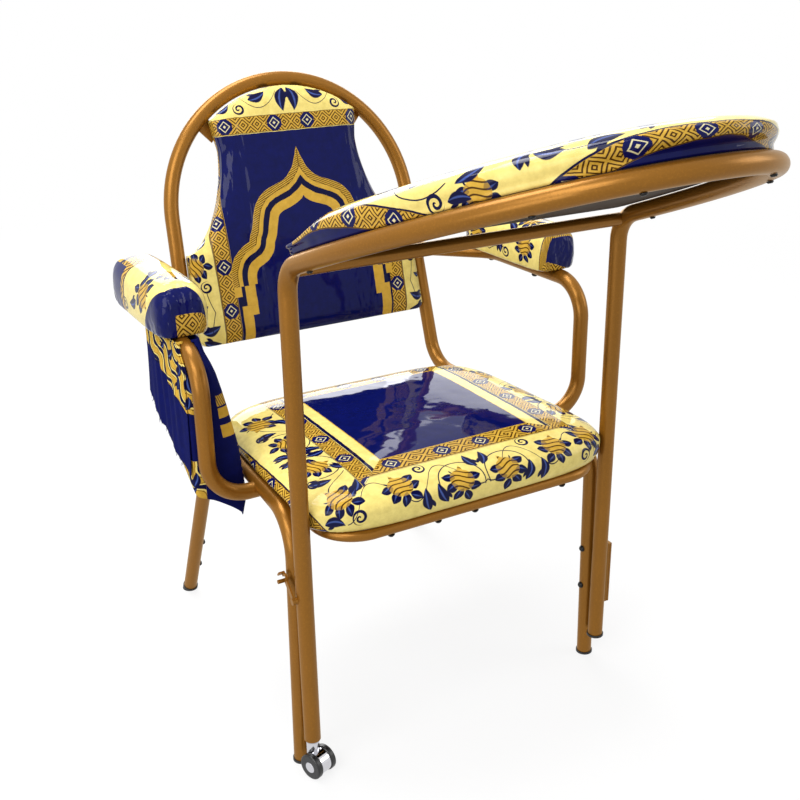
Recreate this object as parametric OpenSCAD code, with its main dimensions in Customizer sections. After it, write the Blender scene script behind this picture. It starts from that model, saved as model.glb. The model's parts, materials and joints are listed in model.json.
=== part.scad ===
// Prayer chair: a bent-tube armchair with a padded table that swings on one leg.
// The sitter faces -Y. +X is the hinge side, -X the castor side, and Z = 0 is the floor.

/* [Tube frame] */
// Outer diameter of the frame tube
tube_d = 25; // [22:0.5:28]
// Half the distance between the front feet
front_foot_half = 273; // [260:1:285]
// Half the distance between the rear feet
rear_foot_half = 252; // [244:1:262]
// Distance from the front feet to the rear feet
foot_depth = 563; // [530:1:600]
// Height of the side rail's centre
rail_z = 408; // [390:1:425]
// Half the distance between the side rails at the front bend
rail_front_half = 266; // [260:1:275]
// Half the distance between the side rails at the rear bend
rail_rear_half = 240; // [234:1:248]
// Distance from the front leg to the corner below the back
rail_length = 444; // [430:1:460]
// Centre radius of the front bend
front_bend_r = 62; // [50:1:80]
// Centre radius of the bend from the rail into the back
rear_bend_r = 60; // [50:1:75]
// Distance from the rail's rear corner forward to the rear leg's top
rear_leg_set = 76.5; // [66:0.5:90]

/* [Back] */
// Lean of the back from upright
lean = 14.8; // [10:0.1:18]
// Length of the back hoop along its lean, from rail to top
hoop_rise = 554; // [520:1:590]
// Half width of the hoop where its sides meet the arch
hoop_top_half = 221; // [212:1:228]
// Height of the back cushion's lower edge along the lean
back_low = 112; // [100:1:125]
// Distance from the hoop's top down to where the cushion flares out
flare_drop = 284; // [270:1:300]
// Distance from the hoop's top down to the waist
waist_drop = 114; // [104:1:128]
// Half width of the waist
waist_half = 129; // [118:1:142]
// Half width where the waist meets the arch
shoulder_half = 137; // [130:1:150]
// Thickness of the back board
back_board_t = 9; // [6:1:12]
// Thickness of the back cushion at its crown
back_cushion_t = 26; // [20:1:36]

/* [Arms] */
// Half the distance between the arm uprights
arm_half = 338; // [328:1:350]
// Distance from the front legs back to the arm uprights
arm_set = 131; // [120:1:145]
// Height of the arm bar's centre
arm_z = 625; // [610:1:640]
// Height of the run that joins the arm to the rail
arm_low_z = 402; // [400:1:406]
// Centre radius of the arm bends
arm_bend_r = 60; // [45:1:66]
// Length of an arm pad
pad_l = 251; // [225:1:262]
// Width of an arm pad
pad_w = 86; // [72:1:92]
// Height of an arm pad above the arm tube
pad_h = 76; // [60:1:82]
// Thickness of the board under an arm pad
pad_board_t = 9; // [6:1:12]

/* [Seat] */
// Diameter of the seat frame tube
seat_tube_d = 16; // [14:0.5:18]
// Drop from the side rail's centre to the seat frame tube's centre
seat_drop = 15.7; // [14:0.1:18]
// Overhang of the seat frame in front of the chair's front legs
seat_over = 66; // [60:1:70]
// Half width of the seat frame at the front
seat_front_half = 239; // [228:1:240]
// Half width of the seat frame at the rear
seat_rear_half = 208; // [198:1:212]
// Depth of the seat frame between tube centres
seat_depth = 421; // [405:1:428]
// Thickness of the seat board
seat_board_t = 10; // [8:1:12]
// Widest half width of the seat cushion, over the rails
cushion_half = 272.8; // [262:0.1:273]
// Height of the seat cushion's crown above the seat frame
cushion_t = 59; // [54:1:66]

/* [Table] */
// Half the distance between the table's legs
table_half = 268; // [262:1:274]
// Distance from the chair's front legs forward to the table's legs
table_gap = 32; // [30:1:36]
// Height where the leg line meets the table loop
table_z = 778; // [760:1:800]
// Rise of the table towards its far edge
table_tilt = 19.85; // [14:0.05:24]
// Length of the table loop along its slope
table_l = 482; // [450:1:510]
// Centre radius of the loop's nose
nose_r = 185; // [165:1:200]
// Centre radius of the bend from leg to loop
table_bend_r = 48; // [40:1:54]
// Diameter of the cross tube between the table's legs
cross_tube_d = 19; // [16:0.5:22]
// Thickness of the table board
table_board_t = 8; // [6:1:12]
// Thickness of the table cushion at its crown
table_cushion_t = 36; // [28:1:44]
// Height of the table legs' ends above the floor
table_leg_z = 58; // [54:1:64]

/* [Castor] */
// Diameter of the castor's wheels
wheel_d = 40; // [36:1:42]
// Width of each wheel
wheel_w = 9.6; // [8:0.1:11]
// Width of the hood between the wheels
hood_w = 17; // [14:0.5:20]
// Distance from the swivel axis to the axle
castor_trail = 10; // [8:1:14]
// Turn of the castor about its stem
castor_turn = 20; // [0:1:40]

/* [Cloth pocket] */
// Half length of the pocket's mouth along the arm
pocket_half_l = 76; // [66:1:80]
// Half width of the pocket's mouth
pocket_half_w = 33; // [28:1:36]
// Depth of the pocket
pocket_depth = 244; // [220:1:250]
// Thickness of the pocket's cloth
cloth_t = 2.4; // [2:0.1:3]

/* [Hidden] */
$fn = 48;

// Finishes
gold = [0.71, 0.50, 0.23];
print_yellow = [0.93, 0.80, 0.34];
navy = [0.14, 0.14, 0.43];
ply = [0.66, 0.50, 0.32];
black = [0.06, 0.06, 0.06];
steel = [0.78, 0.78, 0.80];

// Clearances and small common sizes
seat_gap = 0.3;
weld_gap = 0.1;
slide_gap = 0.05;
overrun = 1;
// The straights of a tube are a hair thinner than its bends and lap into them
tube_step = 0.1;
tube_lap = 1;
tube_r = tube_d / 2;
seat_tube_r = seat_tube_d / 2;
fine = 0.01;

// Feet and legs
foot_y = foot_depth / 2;
cap_t = 4;
cap_wall = 1.5;
plug_d = 21;
plug_l = 14;
leg_plug_low_z = 66;
leg_plug_high_z = 126;

// Points of the left side; the right side mirrors them
rail_rear_y = rail_length - foot_y;
p_foot = [-front_foot_half, -foot_y, cap_t];
p_front = [-rail_front_half, -foot_y, rail_z];
p_rear = [-rail_rear_half, rail_rear_y, rail_z];
p_top = [-hoop_top_half, rail_rear_y + hoop_rise * sin(lean), rail_z + hoop_rise * cos(lean)];
rear_top_y = rail_rear_y - rear_leg_set;
rear_leg_rake = atan((foot_y - rear_top_y) / rail_z);
p_rear_foot = [-rear_foot_half, foot_y, 0];
p_rear_top = [-rail_x(rear_top_y), rear_top_y, rail_z];
joint_step = 2;
p_joint = p_rear + unit(p_top - p_rear)
    * (rear_bend_r * tan(turn(p_rear - p_front, p_top - p_rear) / 2) + joint_step);
hoop_splay = atan((rail_rear_half - hoop_top_half) / hoop_rise);
arch_r = hoop_top_half / tan((90 - hoop_splay) / 2);
arch_h = hoop_rise - arch_r;

// Arms
arm_y = arm_set - foot_y;
p_arm_weld = [-rail_x(arm_y), arm_y, arm_low_z];
p_arm_low = [-arm_half, arm_y, arm_low_z];
p_arm_high = [-arm_half, arm_y, arm_z];
arm_hoop_h = (arm_z - rail_z) / cos(lean);
p_arm_end = p_rear + (p_top - p_rear) * (arm_hoop_h / hoop_rise);
p_arm_turn = [-arm_half, p_arm_end[1] - (arm_half + p_arm_end[0]), arm_z];
cope_l = 70;
pad_in = 6;
pad_set = 53;
pad_x = arm_half - pad_in;
pad_front_y = arm_y + pad_set;
pad_z = arm_z + tube_r + seat_gap;
bolt_d = 11;
bolt_h = 3.5;
bolt_edge = 1;
arm_bolt_front_share = 0.32;
// How far behind the start of the tube's turn the rear bolt sits
arm_bolt_past = 4.224;
arm_bolt_places = [pad_front_y + pad_l * arm_bolt_front_share, p_arm_turn[1] + arm_bolt_past];

// Seat
seat_front_y = -foot_y - seat_over;
seat_frame_z = rail_z - seat_drop;
seat_corner_r = 63;
seat_rear_corner_r = 45;
strap_w = 24;
strap_t = 3;
strap_rise = 5;
strap_front_share = 0.36;
strap_rear_share = 0.86;
board_z = seat_frame_z + seat_tube_r + seat_gap;
over_rail_z = rail_z + tube_r + 2 * seat_gap;
cushion_front = 11;
cushion_rear = 13.5;
board_inset = 2;
board_side_inset = 26;
board_front_inset = 10.5;
cushion_taper = 0.911;
seat_bolt_shares = [-0.61, -0.285, -0.02, 0.645];
seat_round_share = 0.186;
rail_room = tube_r + strap_t + 3 * seat_gap;

// Back
lug_w = 26;
lug_l = 36;
lug_t = 3;
lug_low_share = 0.35;
lug_angle = 48;
screw_d = 8;
screw_h = 2.5;
hoop_clear = 2;
back_flare = hoop_rise - flare_drop;
back_waist = hoop_rise - waist_drop;
back_corner_r = 14;
flare_power = 1.7;

// Hinge, on the outer side between the chair's leg and the table's leg
hinge_low_z = 138;
hinge_high_z = 209;
hinge_over = 20;
knuckle_d = 10;
hinge_pin_d = 5;
pin_head_d = 8;
pin_head_h = 2.5;
leaf_t = 3;
leaf_w = 22;
knuckles = 5;
knuckle_gap = 0.4;
hinge_bolt_d = 6;
nut_d = 10;
nut_h = 4;
hinge_y = -foot_y - table_gap / 2;
hinge_x = max(leg_x(hinge_low_z), table_half) + tube_r + leaf_t + seat_gap;
hinge_z0 = hinge_low_z - hinge_over;
hinge_h = hinge_high_z - hinge_low_z + 2 * hinge_over;
knuckle_h = hinge_h / knuckles;

// Table
table_y = -foot_y - table_gap;
lead = 45;
loop_a = table_l - lead;
side_r = (pow(table_half, 2) + pow(loop_a - nose_r, 2) - pow(nose_r, 2))
    / (2 * (table_half - nose_r));
side_turn = atan2(loop_a - nose_r, side_r - table_half);
side_tip = lead + side_r * tan(side_turn / 2);
nose_tip = side_tip + table_half / tan(side_turn);
cross_forward = 9;
cross_drop = 4;
table_rim = 4;
table_over = 2;
table_corner_r = 14;
table_middle_share = 0.42;
stem_d = 11;
stem_l = 32;
screw_turns = [28, 62, 118, 152];
table_screw_start = 24;

// Latch, on the outer side between the table's castor leg and the chair's leg
peg_d = 6;
peg_l = 14;
peg_z = 318;
hook_pivot_z = 300;
hook_t = 2.5;
hook_w = 9;
hook_nose = 9;
hook_play = 0.4;
hook_raise = 14;
hook_tab_l = 9;
hook_tab_t = 2.5;
rivet_d = 5;
rivet_head_d = 10;
rivet_head_h = 1.6;
hook_space = 3.2;
hook_rake = atan2(peg_z - hook_pivot_z, table_gap);
hook_l = norm([peg_z - hook_pivot_z, table_gap]);

// Castor
castor_x = -table_half;
axle_d = 5;
axle_z = wheel_d / 2;
hood_r = wheel_d / 2 - 1.8;
hood_neck_d = 20;
stem_pin_d = 8;
stem_pin_l = 15;
stem_flange_d = 22;
stem_flange_t = 2.5;
hood_top_z = table_leg_z - stem_flange_t - weld_gap - seat_gap;
wheel_gap = 0.4;
wheel_round = 2.5;
disc_d = 17;
disc_t = 1.4;
disc_seat = 0.9;
disc_round = 0.5;

// Pocket
pocket_set = 135;
pocket_round_share = 0.8;
pocket_y = arm_y + pocket_set;
pocket_z = arm_z - tube_r - seat_gap;
pocket_in = 24;
pocket_folds = 5;
fold_share = 0.05;
pocket_gather_share = 0.72;
pocket_seam_share = 0.36;

// Where the model's own frame lies: the middle of its length, on the floor
hoop_back_y = p_top[1] + tube_r;
table_front_y = table_y - table_l * cos(table_tilt) - tube_r;
y_mid = (hoop_back_y + table_front_y) / 2;

function unit(v) = v / norm(v);
function turn(a, b) = acos(unit(a) * unit(b));
function flip(p) = [-p[0], p[1], p[2]];
function last(v) = v[len(v) - 1];
// Half distance between the rails at a given depth
function rail_x(y) =
    rail_front_half + (rail_rear_half - rail_front_half) * (y + foot_y) / rail_length;
// Half distance between the front legs at a given height
function leg_x(z) = front_foot_half + (rail_front_half - front_foot_half) * z / rail_z;
function smooth(t) = t * t * (3 - 2 * t);
// One coordinate of a superellipse: 1 is an ellipse, lower shares are squarer
function squircle(c, share) = sign(c) * pow(abs(c), share);

module in_frame() {
    translate([0, -y_mid, 0]) children();
}

module mirrored(right) {
    if (right) mirror([1, 0, 0]) children();
    else children();
}

// Puts the child's X, Y and Z axes along u, v and w, from the point o
module set_axes(u, v, w, o) {
    multmatrix([
        [u[0], v[0], w[0], o[0]],
        [u[1], v[1], w[1], o[1]],
        [u[2], v[2], w[2], o[2]],
        [0, 0, 0, 1]
    ]) children();
}

// Puts the child's Z axis along b - a, starting at a
module along(a, b) {
    w = unit(b - a);
    side = abs(w[0]) < abs(w[2]) ? [1, 0, 0] : [0, 0, 1];
    u = unit(cross(side, w));
    set_axes(u, cross(w, u), w, a) children();
}

module rod(a, b, d) {
    along(a, b) cylinder(d = d, h = norm(b - a));
}

// One bend of centre radius r at corner p, between directions u and v
module elbow(p, u, v, r, d, lap) {
    a = turn(u, v);
    w = unit(v - u * (u * v));
    more = lap / r * 180 / PI;
    set_axes(-w, u, cross(u, w), p - u * (r * tan(a / 2)) + w * r)
        rotate([0, 0, -more]) rotate_extrude(angle = a + 2 * more, $fn = 96)
            translate([r, 0]) circle(d = d, $fn = 48);
}

// A tube bent at each inner point of a path, with one centre radius per bend
module bent_tube(path, radii, d) {
    n = len(path);
    u = [for (i = [0:n - 2]) unit(path[i + 1] - path[i])];
    cut = concat([0], [for (i = [1:n - 2]) radii[i - 1] * tan(turn(u[i - 1], u[i]) / 2)], [0]);
    run = [for (i = [0:n - 2]) norm(path[i + 1] - path[i]) - cut[i] - cut[i + 1]];
    for (i = [0:n - 2])
        if (run[i] > fine) rod(
            path[i] + u[i] * (i > 0 ? cut[i] - tube_lap : 0),
            path[i + 1] - u[i] * (i < n - 2 ? cut[i + 1] - tube_lap : 0),
            d - tube_step
        );
    // A bend between two other bends laps into both
    for (i = [1:n - 2]) {
        inner = run[i - 1] <= fine && run[i] <= fine;
        elbow(path[i], u[i - 1], u[i], radii[i - 1], inner ? d - tube_step : d, inner ? tube_lap : 0);
    }
}

// A closed ring of tube, bent at every point
module bent_ring(path, radii, d) {
    n = len(path);
    u = [for (i = [0:n - 1]) unit(path[(i + 1) % n] - path[i])];
    cut = [for (i = [0:n - 1]) radii[i] * tan(turn(u[(i + n - 1) % n], u[i]) / 2)];
    for (i = [0:n - 1]) {
        j = (i + 1) % n;
        rod(path[i] + u[i] * (cut[i] - tube_lap), path[j] - u[i] * (cut[j] - tube_lap), d - tube_step);
        elbow(path[i], u[(i + n - 1) % n], u[i], radii[i], d, 0);
    }
}

// A closed skin over rings of points, with both ends capped
module skin(rings) {
    k = len(rings[0]);
    m = len(rings);
    points = [for (r = rings) each r];
    sides = [for (j = [0:m - 2], i = [0:k - 1]) each [
        [j * k + i, j * k + (i + 1) % k, (j + 1) * k + i],
        [j * k + (i + 1) % k, (j + 1) * k + (i + 1) % k, (j + 1) * k + i]
    ]];
    low = len(points);
    mid_low = [for (a = [0:2]) [for (p = rings[0]) p[a]] * [for (p = rings[0]) 1 / k]];
    mid_high = [for (a = [0:2]) [for (p = last(rings)) p[a]] * [for (p = last(rings)) 1 / k]];
    caps = [for (i = [0:k - 1]) each [
        [low, (i + 1) % k, i],
        [low + 1, (m - 1) * k + i, (m - 1) * k + (i + 1) % k]
    ]];
    polyhedron(
        concat(points, [mid_low, mid_high]),
        [for (f = concat(sides, caps)) [f[2], f[1], f[0]]],
        convexity = 6
    );
}

// A dome head with its flat face at Z = 0, rising along Z
module bolt_head(d, h) {
    rotate_extrude()
        polygon([[0, 0], [d / 2, 0], [d / 2, bolt_edge], [d / 3, h], [0, h]]);
}

module front_leg_core(grow) {
    rod(p_foot - unit(p_front - p_foot) * overrun, p_front, tube_d + grow);
}

module rail_core(y, grow) {
    step = unit(p_rear - p_front) * (cope_l / 2);
    at = [-rail_x(y), y, rail_z];
    rod(at - step, at + step, tube_d + grow);
}

// Front leg, side rail and the bend that starts the back, in one tube
module side_frame(right) {
    in_frame() color(gold) mirrored(right) difference() {
        bent_tube([p_foot, p_front, p_rear, p_joint], [front_bend_r, rear_bend_r], tube_d);
        along(p_foot, p_front) translate([0, 0, -overrun])
            cylinder(d = plug_d + 2 * slide_gap, h = plug_l + overrun);
        if (right)
            for (z = [hinge_low_z, hinge_high_z])
                translate([-leg_x(z) - tube_d, -foot_y, z]) rotate([0, 90, 0])
                    cylinder(d = hinge_bolt_d + 2 * slide_gap, h = 2 * tube_d);
    }
}

module side_frame_left() { side_frame(false); }
module side_frame_right() { side_frame(true); }

// The back's own frame: X across, Z up along the lean, Y to the rear
module on_back() {
    in_frame() translate([0, rail_rear_y, rail_z]) rotate([-lean, 0, 0]) children();
}

// The hoop's two straight sides and the arch over them
module hoop(d) {
    low = norm(p_joint - p_rear);
    side = [-sin(hoop_splay), 0, cos(hoop_splay)];
    high = [arch_r * cos(hoop_splay), 0, arch_h + arch_r * sin(hoop_splay)];
    for (right = [false, true]) mirrored(right)
        rod([rail_rear_half, 0, 0] + side * low, high + side * tube_lap, d - tube_step);
    translate([0, 0, arch_h]) rotate([90, -hoop_splay, 0])
        rotate_extrude(angle = 180 - 2 * hoop_splay, $fn = 128)
            translate([arch_r, 0]) circle(d = d, $fn = 48);
}

module back_hoop() {
    on_back() color(gold) hoop(tube_d);
}

module rear_leg(right) {
    down = unit(p_rear_foot - p_rear_top);
    foot = p_rear_top + down * ((rail_z - cap_t - tube_r * sin(rear_leg_rake)) / cos(rear_leg_rake));
    in_frame() color(gold) mirrored(right) difference() {
        rod(foot, p_rear_top, tube_d);
        rail_core(p_rear_top[1], 2 * weld_gap);
        along(foot, p_rear_top) translate([0, 0, -overrun])
            cylinder(d = plug_d + 2 * slide_gap, h = plug_l + overrun);
    }
}

module rear_leg_left() { rear_leg(false); }
module rear_leg_right() { rear_leg(true); }

module arm_tube(right) {
    step = unit(p_top - p_rear) * (cope_l / 2);
    in_frame() color(gold) mirrored(right) difference() {
        bent_tube([p_arm_weld, p_arm_low, p_arm_high, p_arm_turn, p_arm_end],
            [arm_bend_r, arm_bend_r, arm_bend_r], tube_d);
        rail_core(arm_y, 2 * weld_gap);
        rod(p_arm_end - step, p_arm_end + step, tube_d + 2 * weld_gap);
    }
}

module arm_tube_left() { arm_tube(false); }
module arm_tube_right() { arm_tube(true); }

// A black cap: a flat foot with a plug that fills the tube's end
module leg_cap(a, b) {
    along(a, b) cylinder(d = plug_d, h = plug_l);
    intersection() {
        along(a, b) translate([0, 0, -tube_d]) cylinder(d = tube_d + 2 * cap_wall, h = tube_d);
        translate([a[0] - tube_d, a[1] - tube_d, 0]) cube([2 * tube_d, 2 * tube_d, tube_d]);
    }
}

module foot_caps() {
    down = unit(p_rear_foot - p_rear_top);
    rear = p_rear_top + down * ((rail_z - cap_t - tube_r * sin(rear_leg_rake)) / cos(rear_leg_rake));
    in_frame() color(black) for (right = [false, true]) mirrored(right) {
        leg_cap(p_foot, p_front);
        leg_cap(rear, p_rear_top);
    }
}

// Plugs in the spare holes of the left rear leg
module leg_plugs() {
    up = unit(p_rear_top - p_rear_foot);
    in_frame() color(black) for (z = [leg_plug_low_z, leg_plug_high_z])
        translate(p_rear_foot + up * (z / up[2]) + [tube_r + weld_gap, 0, 0])
            rotate([0, 90, 0]) bolt_head(bolt_d, bolt_h);
}

// Seat frame: a ring of thin tube, round at the front corners
module seat_frame() {
    r = seat_front_y + seat_depth;
    in_frame() color(gold) translate([0, 0, seat_frame_z]) bent_ring(
        [[-seat_rear_half, r, 0], [-seat_front_half, seat_front_y, 0],
         [seat_front_half, seat_front_y, 0], [seat_rear_half, r, 0]],
        [seat_rear_corner_r, seat_corner_r, seat_corner_r, seat_rear_corner_r], seat_tube_d
    );
}

// Depth of the seat frame's front run at x from its middle
function seat_front_at(x) =
    let (over = max(0, abs(x) - (seat_front_half - seat_corner_r)))
    seat_front_y + seat_corner_r - sqrt(pow(seat_corner_r, 2) - pow(over, 2));

// Flat steel strap that carries the seat frame between the rails
module seat_strap(share) {
    y = seat_front_y + seat_depth * share;
    half = rail_x(y + strap_w / 2) - tube_r - seat_gap;
    top = seat_frame_z - seat_tube_r - seat_gap;
    in_frame() color(gold) translate([0, y + strap_w / 2, 0]) rotate([90, 0, 0])
        linear_extrude(strap_w) polygon([
            [-half, top - strap_t], [half, top - strap_t], [half, rail_z + strap_rise],
            [half - strap_t, rail_z + strap_rise], [half - strap_t, top],
            [strap_t - half, top], [strap_t - half, rail_z + strap_rise], [-half, rail_z + strap_rise]
        ]);
}

module seat_strap_front() { seat_strap(strap_front_share); }
module seat_strap_rear() { seat_strap(strap_rear_share); }

// Outline of the seat at angle a, drawn in from its widest by in_x and in_y
function seat_point(a, in_x, in_y) =
    let (
        y0 = seat_front_y - cushion_front,
        y1 = seat_front_y + seat_depth + cushion_rear,
        v = squircle(sin(a), seat_round_share * 2),
        y = (y0 + y1) / 2 + ((y1 - y0) / 2 - in_y) * v,
        half = cushion_half * (1 - (1 - cushion_taper) * (y - y0) / (y1 - y0)) - in_x
    ) [half * squircle(cos(a), seat_round_share * 2), y];

seat_segments = 64;

module seat_board() {
    in_frame() color(ply) translate([0, 0, board_z]) linear_extrude(seat_board_t)
        polygon([for (i = [0:seat_segments - 1])
            seat_point(i * 360 / seat_segments, board_side_inset, board_front_inset)]);
}

// The roll of the seat cushion's upper edge
cushion_roll = 25;
// Levels below the rails' tops: side inset, front inset and height as a share of the way up
seat_low_levels = [[9, 7, 0], [2, 1.5, 0.3], [0.5, 0, 0.7], [0, 0, 1]];
// Levels above: inset as a share of the roll, and height as a share of what is left
seat_high_shares = [
    [0.01, 0.22], [0.14, 0.35], [0.40, 0.52], [0.98, 0.71], [2.0, 0.855], [4.0, 0.953], [6.7, 1]
];

// A point of the seat's outline, held in between the rails behind the front legs
function seat_low_point(a, in_x, in_y) =
    let (
        p = seat_point(a, in_x, in_y),
        room = p[1] > -foot_y - tube_r ? rail_x(p[1] + strap_w) - rail_room : cushion_half
    ) [sign(p[0]) * min(abs(p[0]), room), p[1]];

function seat_ring(level) =
    [for (i = [0:seat_segments - 1])
        let (p = seat_low_point(i * 360 / seat_segments, level[0], level[1]))
        [p[0], p[1], board_z + (over_rail_z - board_z) * level[2]]];

// The pocket under the cushion that takes the board
function seat_recess(z) =
    [for (i = [0:seat_segments - 1])
        let (p = seat_point(i * 360 / seat_segments, board_side_inset - seat_gap,
            board_front_inset - seat_gap)) [p[0], p[1], z]];

module seat_cushion() {
    in_frame() color(print_yellow) skin(concat(
        [seat_recess(board_z + seat_board_t + seat_gap), seat_recess(board_z)],
        [for (level = seat_low_levels) seat_ring(level)],
        [for (s = seat_high_shares) [for (i = [0:seat_segments - 1])
            let (p = seat_point(i * 360 / seat_segments, cushion_roll * s[0], cushion_roll * s[0]))
            [p[0], p[1], over_rail_z + (board_z + cushion_t - over_rail_z) * s[1]]]]
    ));
}

module seat_bolts() {
    in_frame() color(black) for (s = seat_bolt_shares) {
        x = seat_front_half * s;
        translate([x, seat_front_at(x), seat_frame_z - seat_tube_r - weld_gap])
            rotate([180, 0, 0]) bolt_head(bolt_d, bolt_h);
    }
}

function hoop_in(h) = rail_rear_half + (hoop_top_half - rail_rear_half) * h / hoop_rise
    - tube_r - hoop_clear;

// Right half of the back's outline from the bottom corner to the top, drawn in by d
function back_half(d) =
    let (
        r = arch_r - tube_r - hoop_clear - d,
        side = hoop_in(back_flare) - d,
        waist = waist_half - d,
        flare = back_flare - d,
        a_end = acos((shoulder_half - d) / r),
        low = [hoop_in(back_low) - d - back_corner_r, back_low + d + back_corner_r]
    ) concat(
        [for (a = [-90:30:0]) low + back_corner_r * [cos(a), sin(a)]],
        [for (i = [0:8]) let (t = 1 - smooth(i / 8))
            [side - (side - waist) * pow(1 - pow(t, flare_power), 1 / flare_power),
             back_waist - (back_waist - flare) * t]],
        [for (i = [0:7]) let (a = a_end + (90 - a_end) * i / 7) [r * cos(a), arch_h + r * sin(a)]]
    );

function back_outline(d) =
    let (h = back_half(d), n = len(h))
    concat(h, [for (i = [1:n - 1]) [-h[n - 1 - i][0], h[n - 1 - i][1]]]);

module back_board() {
    on_back() color(ply) rotate([90, 0, 0]) translate([0, 0, -back_board_t / 2])
        linear_extrude(back_board_t) polygon(back_outline(board_inset));
}

// Levels of the back cushion: inset and depth as shares of its thickness
back_level_shares = [
    [0.06, 0.00], [0.00, 0.22], [0.03, 0.45], [0.16, 0.66], [0.45, 0.84], [1.10, 0.95], [1.90, 1.00]
];

module back_cushion() {
    on_back() color(navy) skin([for (s = back_level_shares)
        [for (p = back_outline(back_cushion_t * s[0]))
            [p[0], -back_board_t / 2 - seat_gap - back_cushion_t * s[1], p[1]]]]);
}

// Places for the steel lugs on the hoop: point on the tube's centre and direction inwards
lug_low_h = hoop_rise * lug_low_share;
lug_low_x = hoop_in(lug_low_h) + tube_r + hoop_clear;
module at_lugs() {
    for (right = [false, true]) mirrored(right) {
        translate([-lug_low_x, 0, lug_low_h]) children();
        translate([-arch_r * cos(lug_angle), 0, arch_h + arch_r * sin(lug_angle)])
            rotate([0, lug_angle, 0]) children();
    }
}

module back_lugs() {
    on_back() color(gold) difference() {
        at_lugs() translate([tube_r / 2, back_board_t / 2 + seat_gap, -lug_w / 2])
            cube([lug_l, lug_t, lug_w]);
        hoop(tube_d + 2 * weld_gap);
    }
}

module back_screws() {
    on_back() color(black) at_lugs()
        translate([tube_r / 2 + lug_l - screw_d, back_board_t / 2 + seat_gap + lug_t + weld_gap, 0])
            rotate([-90, 0, 0]) bolt_head(screw_d, screw_h);
}

pad_segments = 32;
pad_square_share = 0.36;
pad_board_share = 0.8;
// Levels of an arm pad: size and height, both as shares
pad_level_shares = [
    [0.93, 0], [0.985, 0.08], [1, 0.22], [1, 0.45], [0.95, 0.66], [0.84, 0.80], [0.66, 0.905],
    [0.42, 0.97], [0.18, 1]
];

// A level ring of an arm pad at size share k; its ends draw in as much as its sides
function pad_ring(k, z) =
    [for (i = [0:pad_segments - 1])
        let (a = i * 360 / pad_segments)
        [squircle(cos(a), pad_square_share) * k * pad_w / 2,
         squircle(sin(a), pad_square_share) * (pad_l - (1 - k) * pad_w) / 2, z]];

module at_pad(right) {
    in_frame() mirrored(right) translate([-pad_x, pad_front_y + pad_l / 2, pad_z]) children();
}

module arm_board(right) {
    k = pad_board_share - 2 * seat_gap / pad_w;
    at_pad(right) color(ply) linear_extrude(pad_board_t)
        polygon([for (p = pad_ring(k, 0)) [p[0], p[1]]]);
}

module arm_board_left() { arm_board(false); }
module arm_board_right() { arm_board(true); }

// An arm pad: a padded block, round above, wrapped round its board below
module arm_pad(right) {
    at_pad(right) color(print_yellow) skin(concat(
        [pad_ring(pad_board_share, pad_board_t + seat_gap), pad_ring(pad_board_share, 0)],
        [for (s = pad_level_shares) pad_ring(s[0], pad_h * s[1])]
    ));
}

module arm_pad_left() { arm_pad(false); }
module arm_pad_right() { arm_pad(true); }

module arm_bolts() {
    in_frame() color(black) for (right = [false, true], y = arm_bolt_places) mirrored(right)
        translate([-arm_half, y, arm_z - tube_r - weld_gap])
            rotate([180, 0, 0]) bolt_head(bolt_d, bolt_h);
}

pocket_segments = 40;
pocket_level_shares = [0, 0.04, 0.12, 0.25, 0.42, 0.6, 0.8, 1];

// One ring of the pocket at height share s, drawn in by d
function pocket_ring(s, d) =
    let (
        open = pocket_seam_share + (1 - pocket_seam_share) * smooth(s),
        wide = pocket_gather_share + (1 - pocket_gather_share) * smooth(s),
        x = -arm_half + pocket_in * (1 - s)
    ) [for (i = [0:pocket_segments - 1])
        let (
            a = i * 360 / pocket_segments,
            fold = 1 + fold_share * (1 + 1 - s) * cos(a * pocket_folds)
        ) [x + squircle(cos(a), pocket_round_share) * (pocket_half_w * open * fold - d),
           pocket_y + squircle(sin(a), pocket_round_share) * (pocket_half_l * wide - d),
           pocket_z - pocket_depth * (1 - s) + (s == 0 ? d : 0)]];

// A cloth bag that hangs from the left arm bar, open at the top
module cloth_pocket() {
    n = len(pocket_level_shares);
    in_frame() color(navy) skin(concat(
        [for (s = pocket_level_shares) pocket_ring(s, 0)],
        [for (i = [0:n - 1]) pocket_ring(pocket_level_shares[n - 1 - i], cloth_t)]
    ));
}

module latch_peg() {
    x = leg_x(peg_z);
    in_frame() color(gold) difference() {
        translate([-x - tube_r - peg_l, -foot_y, peg_z]) rotate([0, 90, 0])
            cylinder(d = peg_d, h = peg_l + tube_r / 2);
        front_leg_core(2 * weld_gap);
    }
}

// Knuckles number first, first + 2, and so on
module knuckle_row(first) {
    for (i = [first:2:knuckles - 1])
        translate([hinge_x, hinge_y, hinge_z0 + i * knuckle_h + knuckle_gap / 2])
            cylinder(d = knuckle_d, h = knuckle_h - knuckle_gap);
}

module hinge_bore() {
    translate([hinge_x, hinge_y, hinge_z0 - overrun])
        cylinder(d = hinge_pin_d + 2 * slide_gap, h = hinge_h + 2 * overrun);
}

// Slots that clear the other leaf's knuckles
module knuckle_slots(first) {
    w = knuckle_d / 2 + knuckle_gap;
    for (i = [first:2:knuckles - 1])
        translate([hinge_x - knuckle_d, hinge_y - w, hinge_z0 + i * knuckle_h - knuckle_gap / 2])
            cube([2 * knuckle_d, 2 * w, knuckle_h + knuckle_gap]);
}

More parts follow.
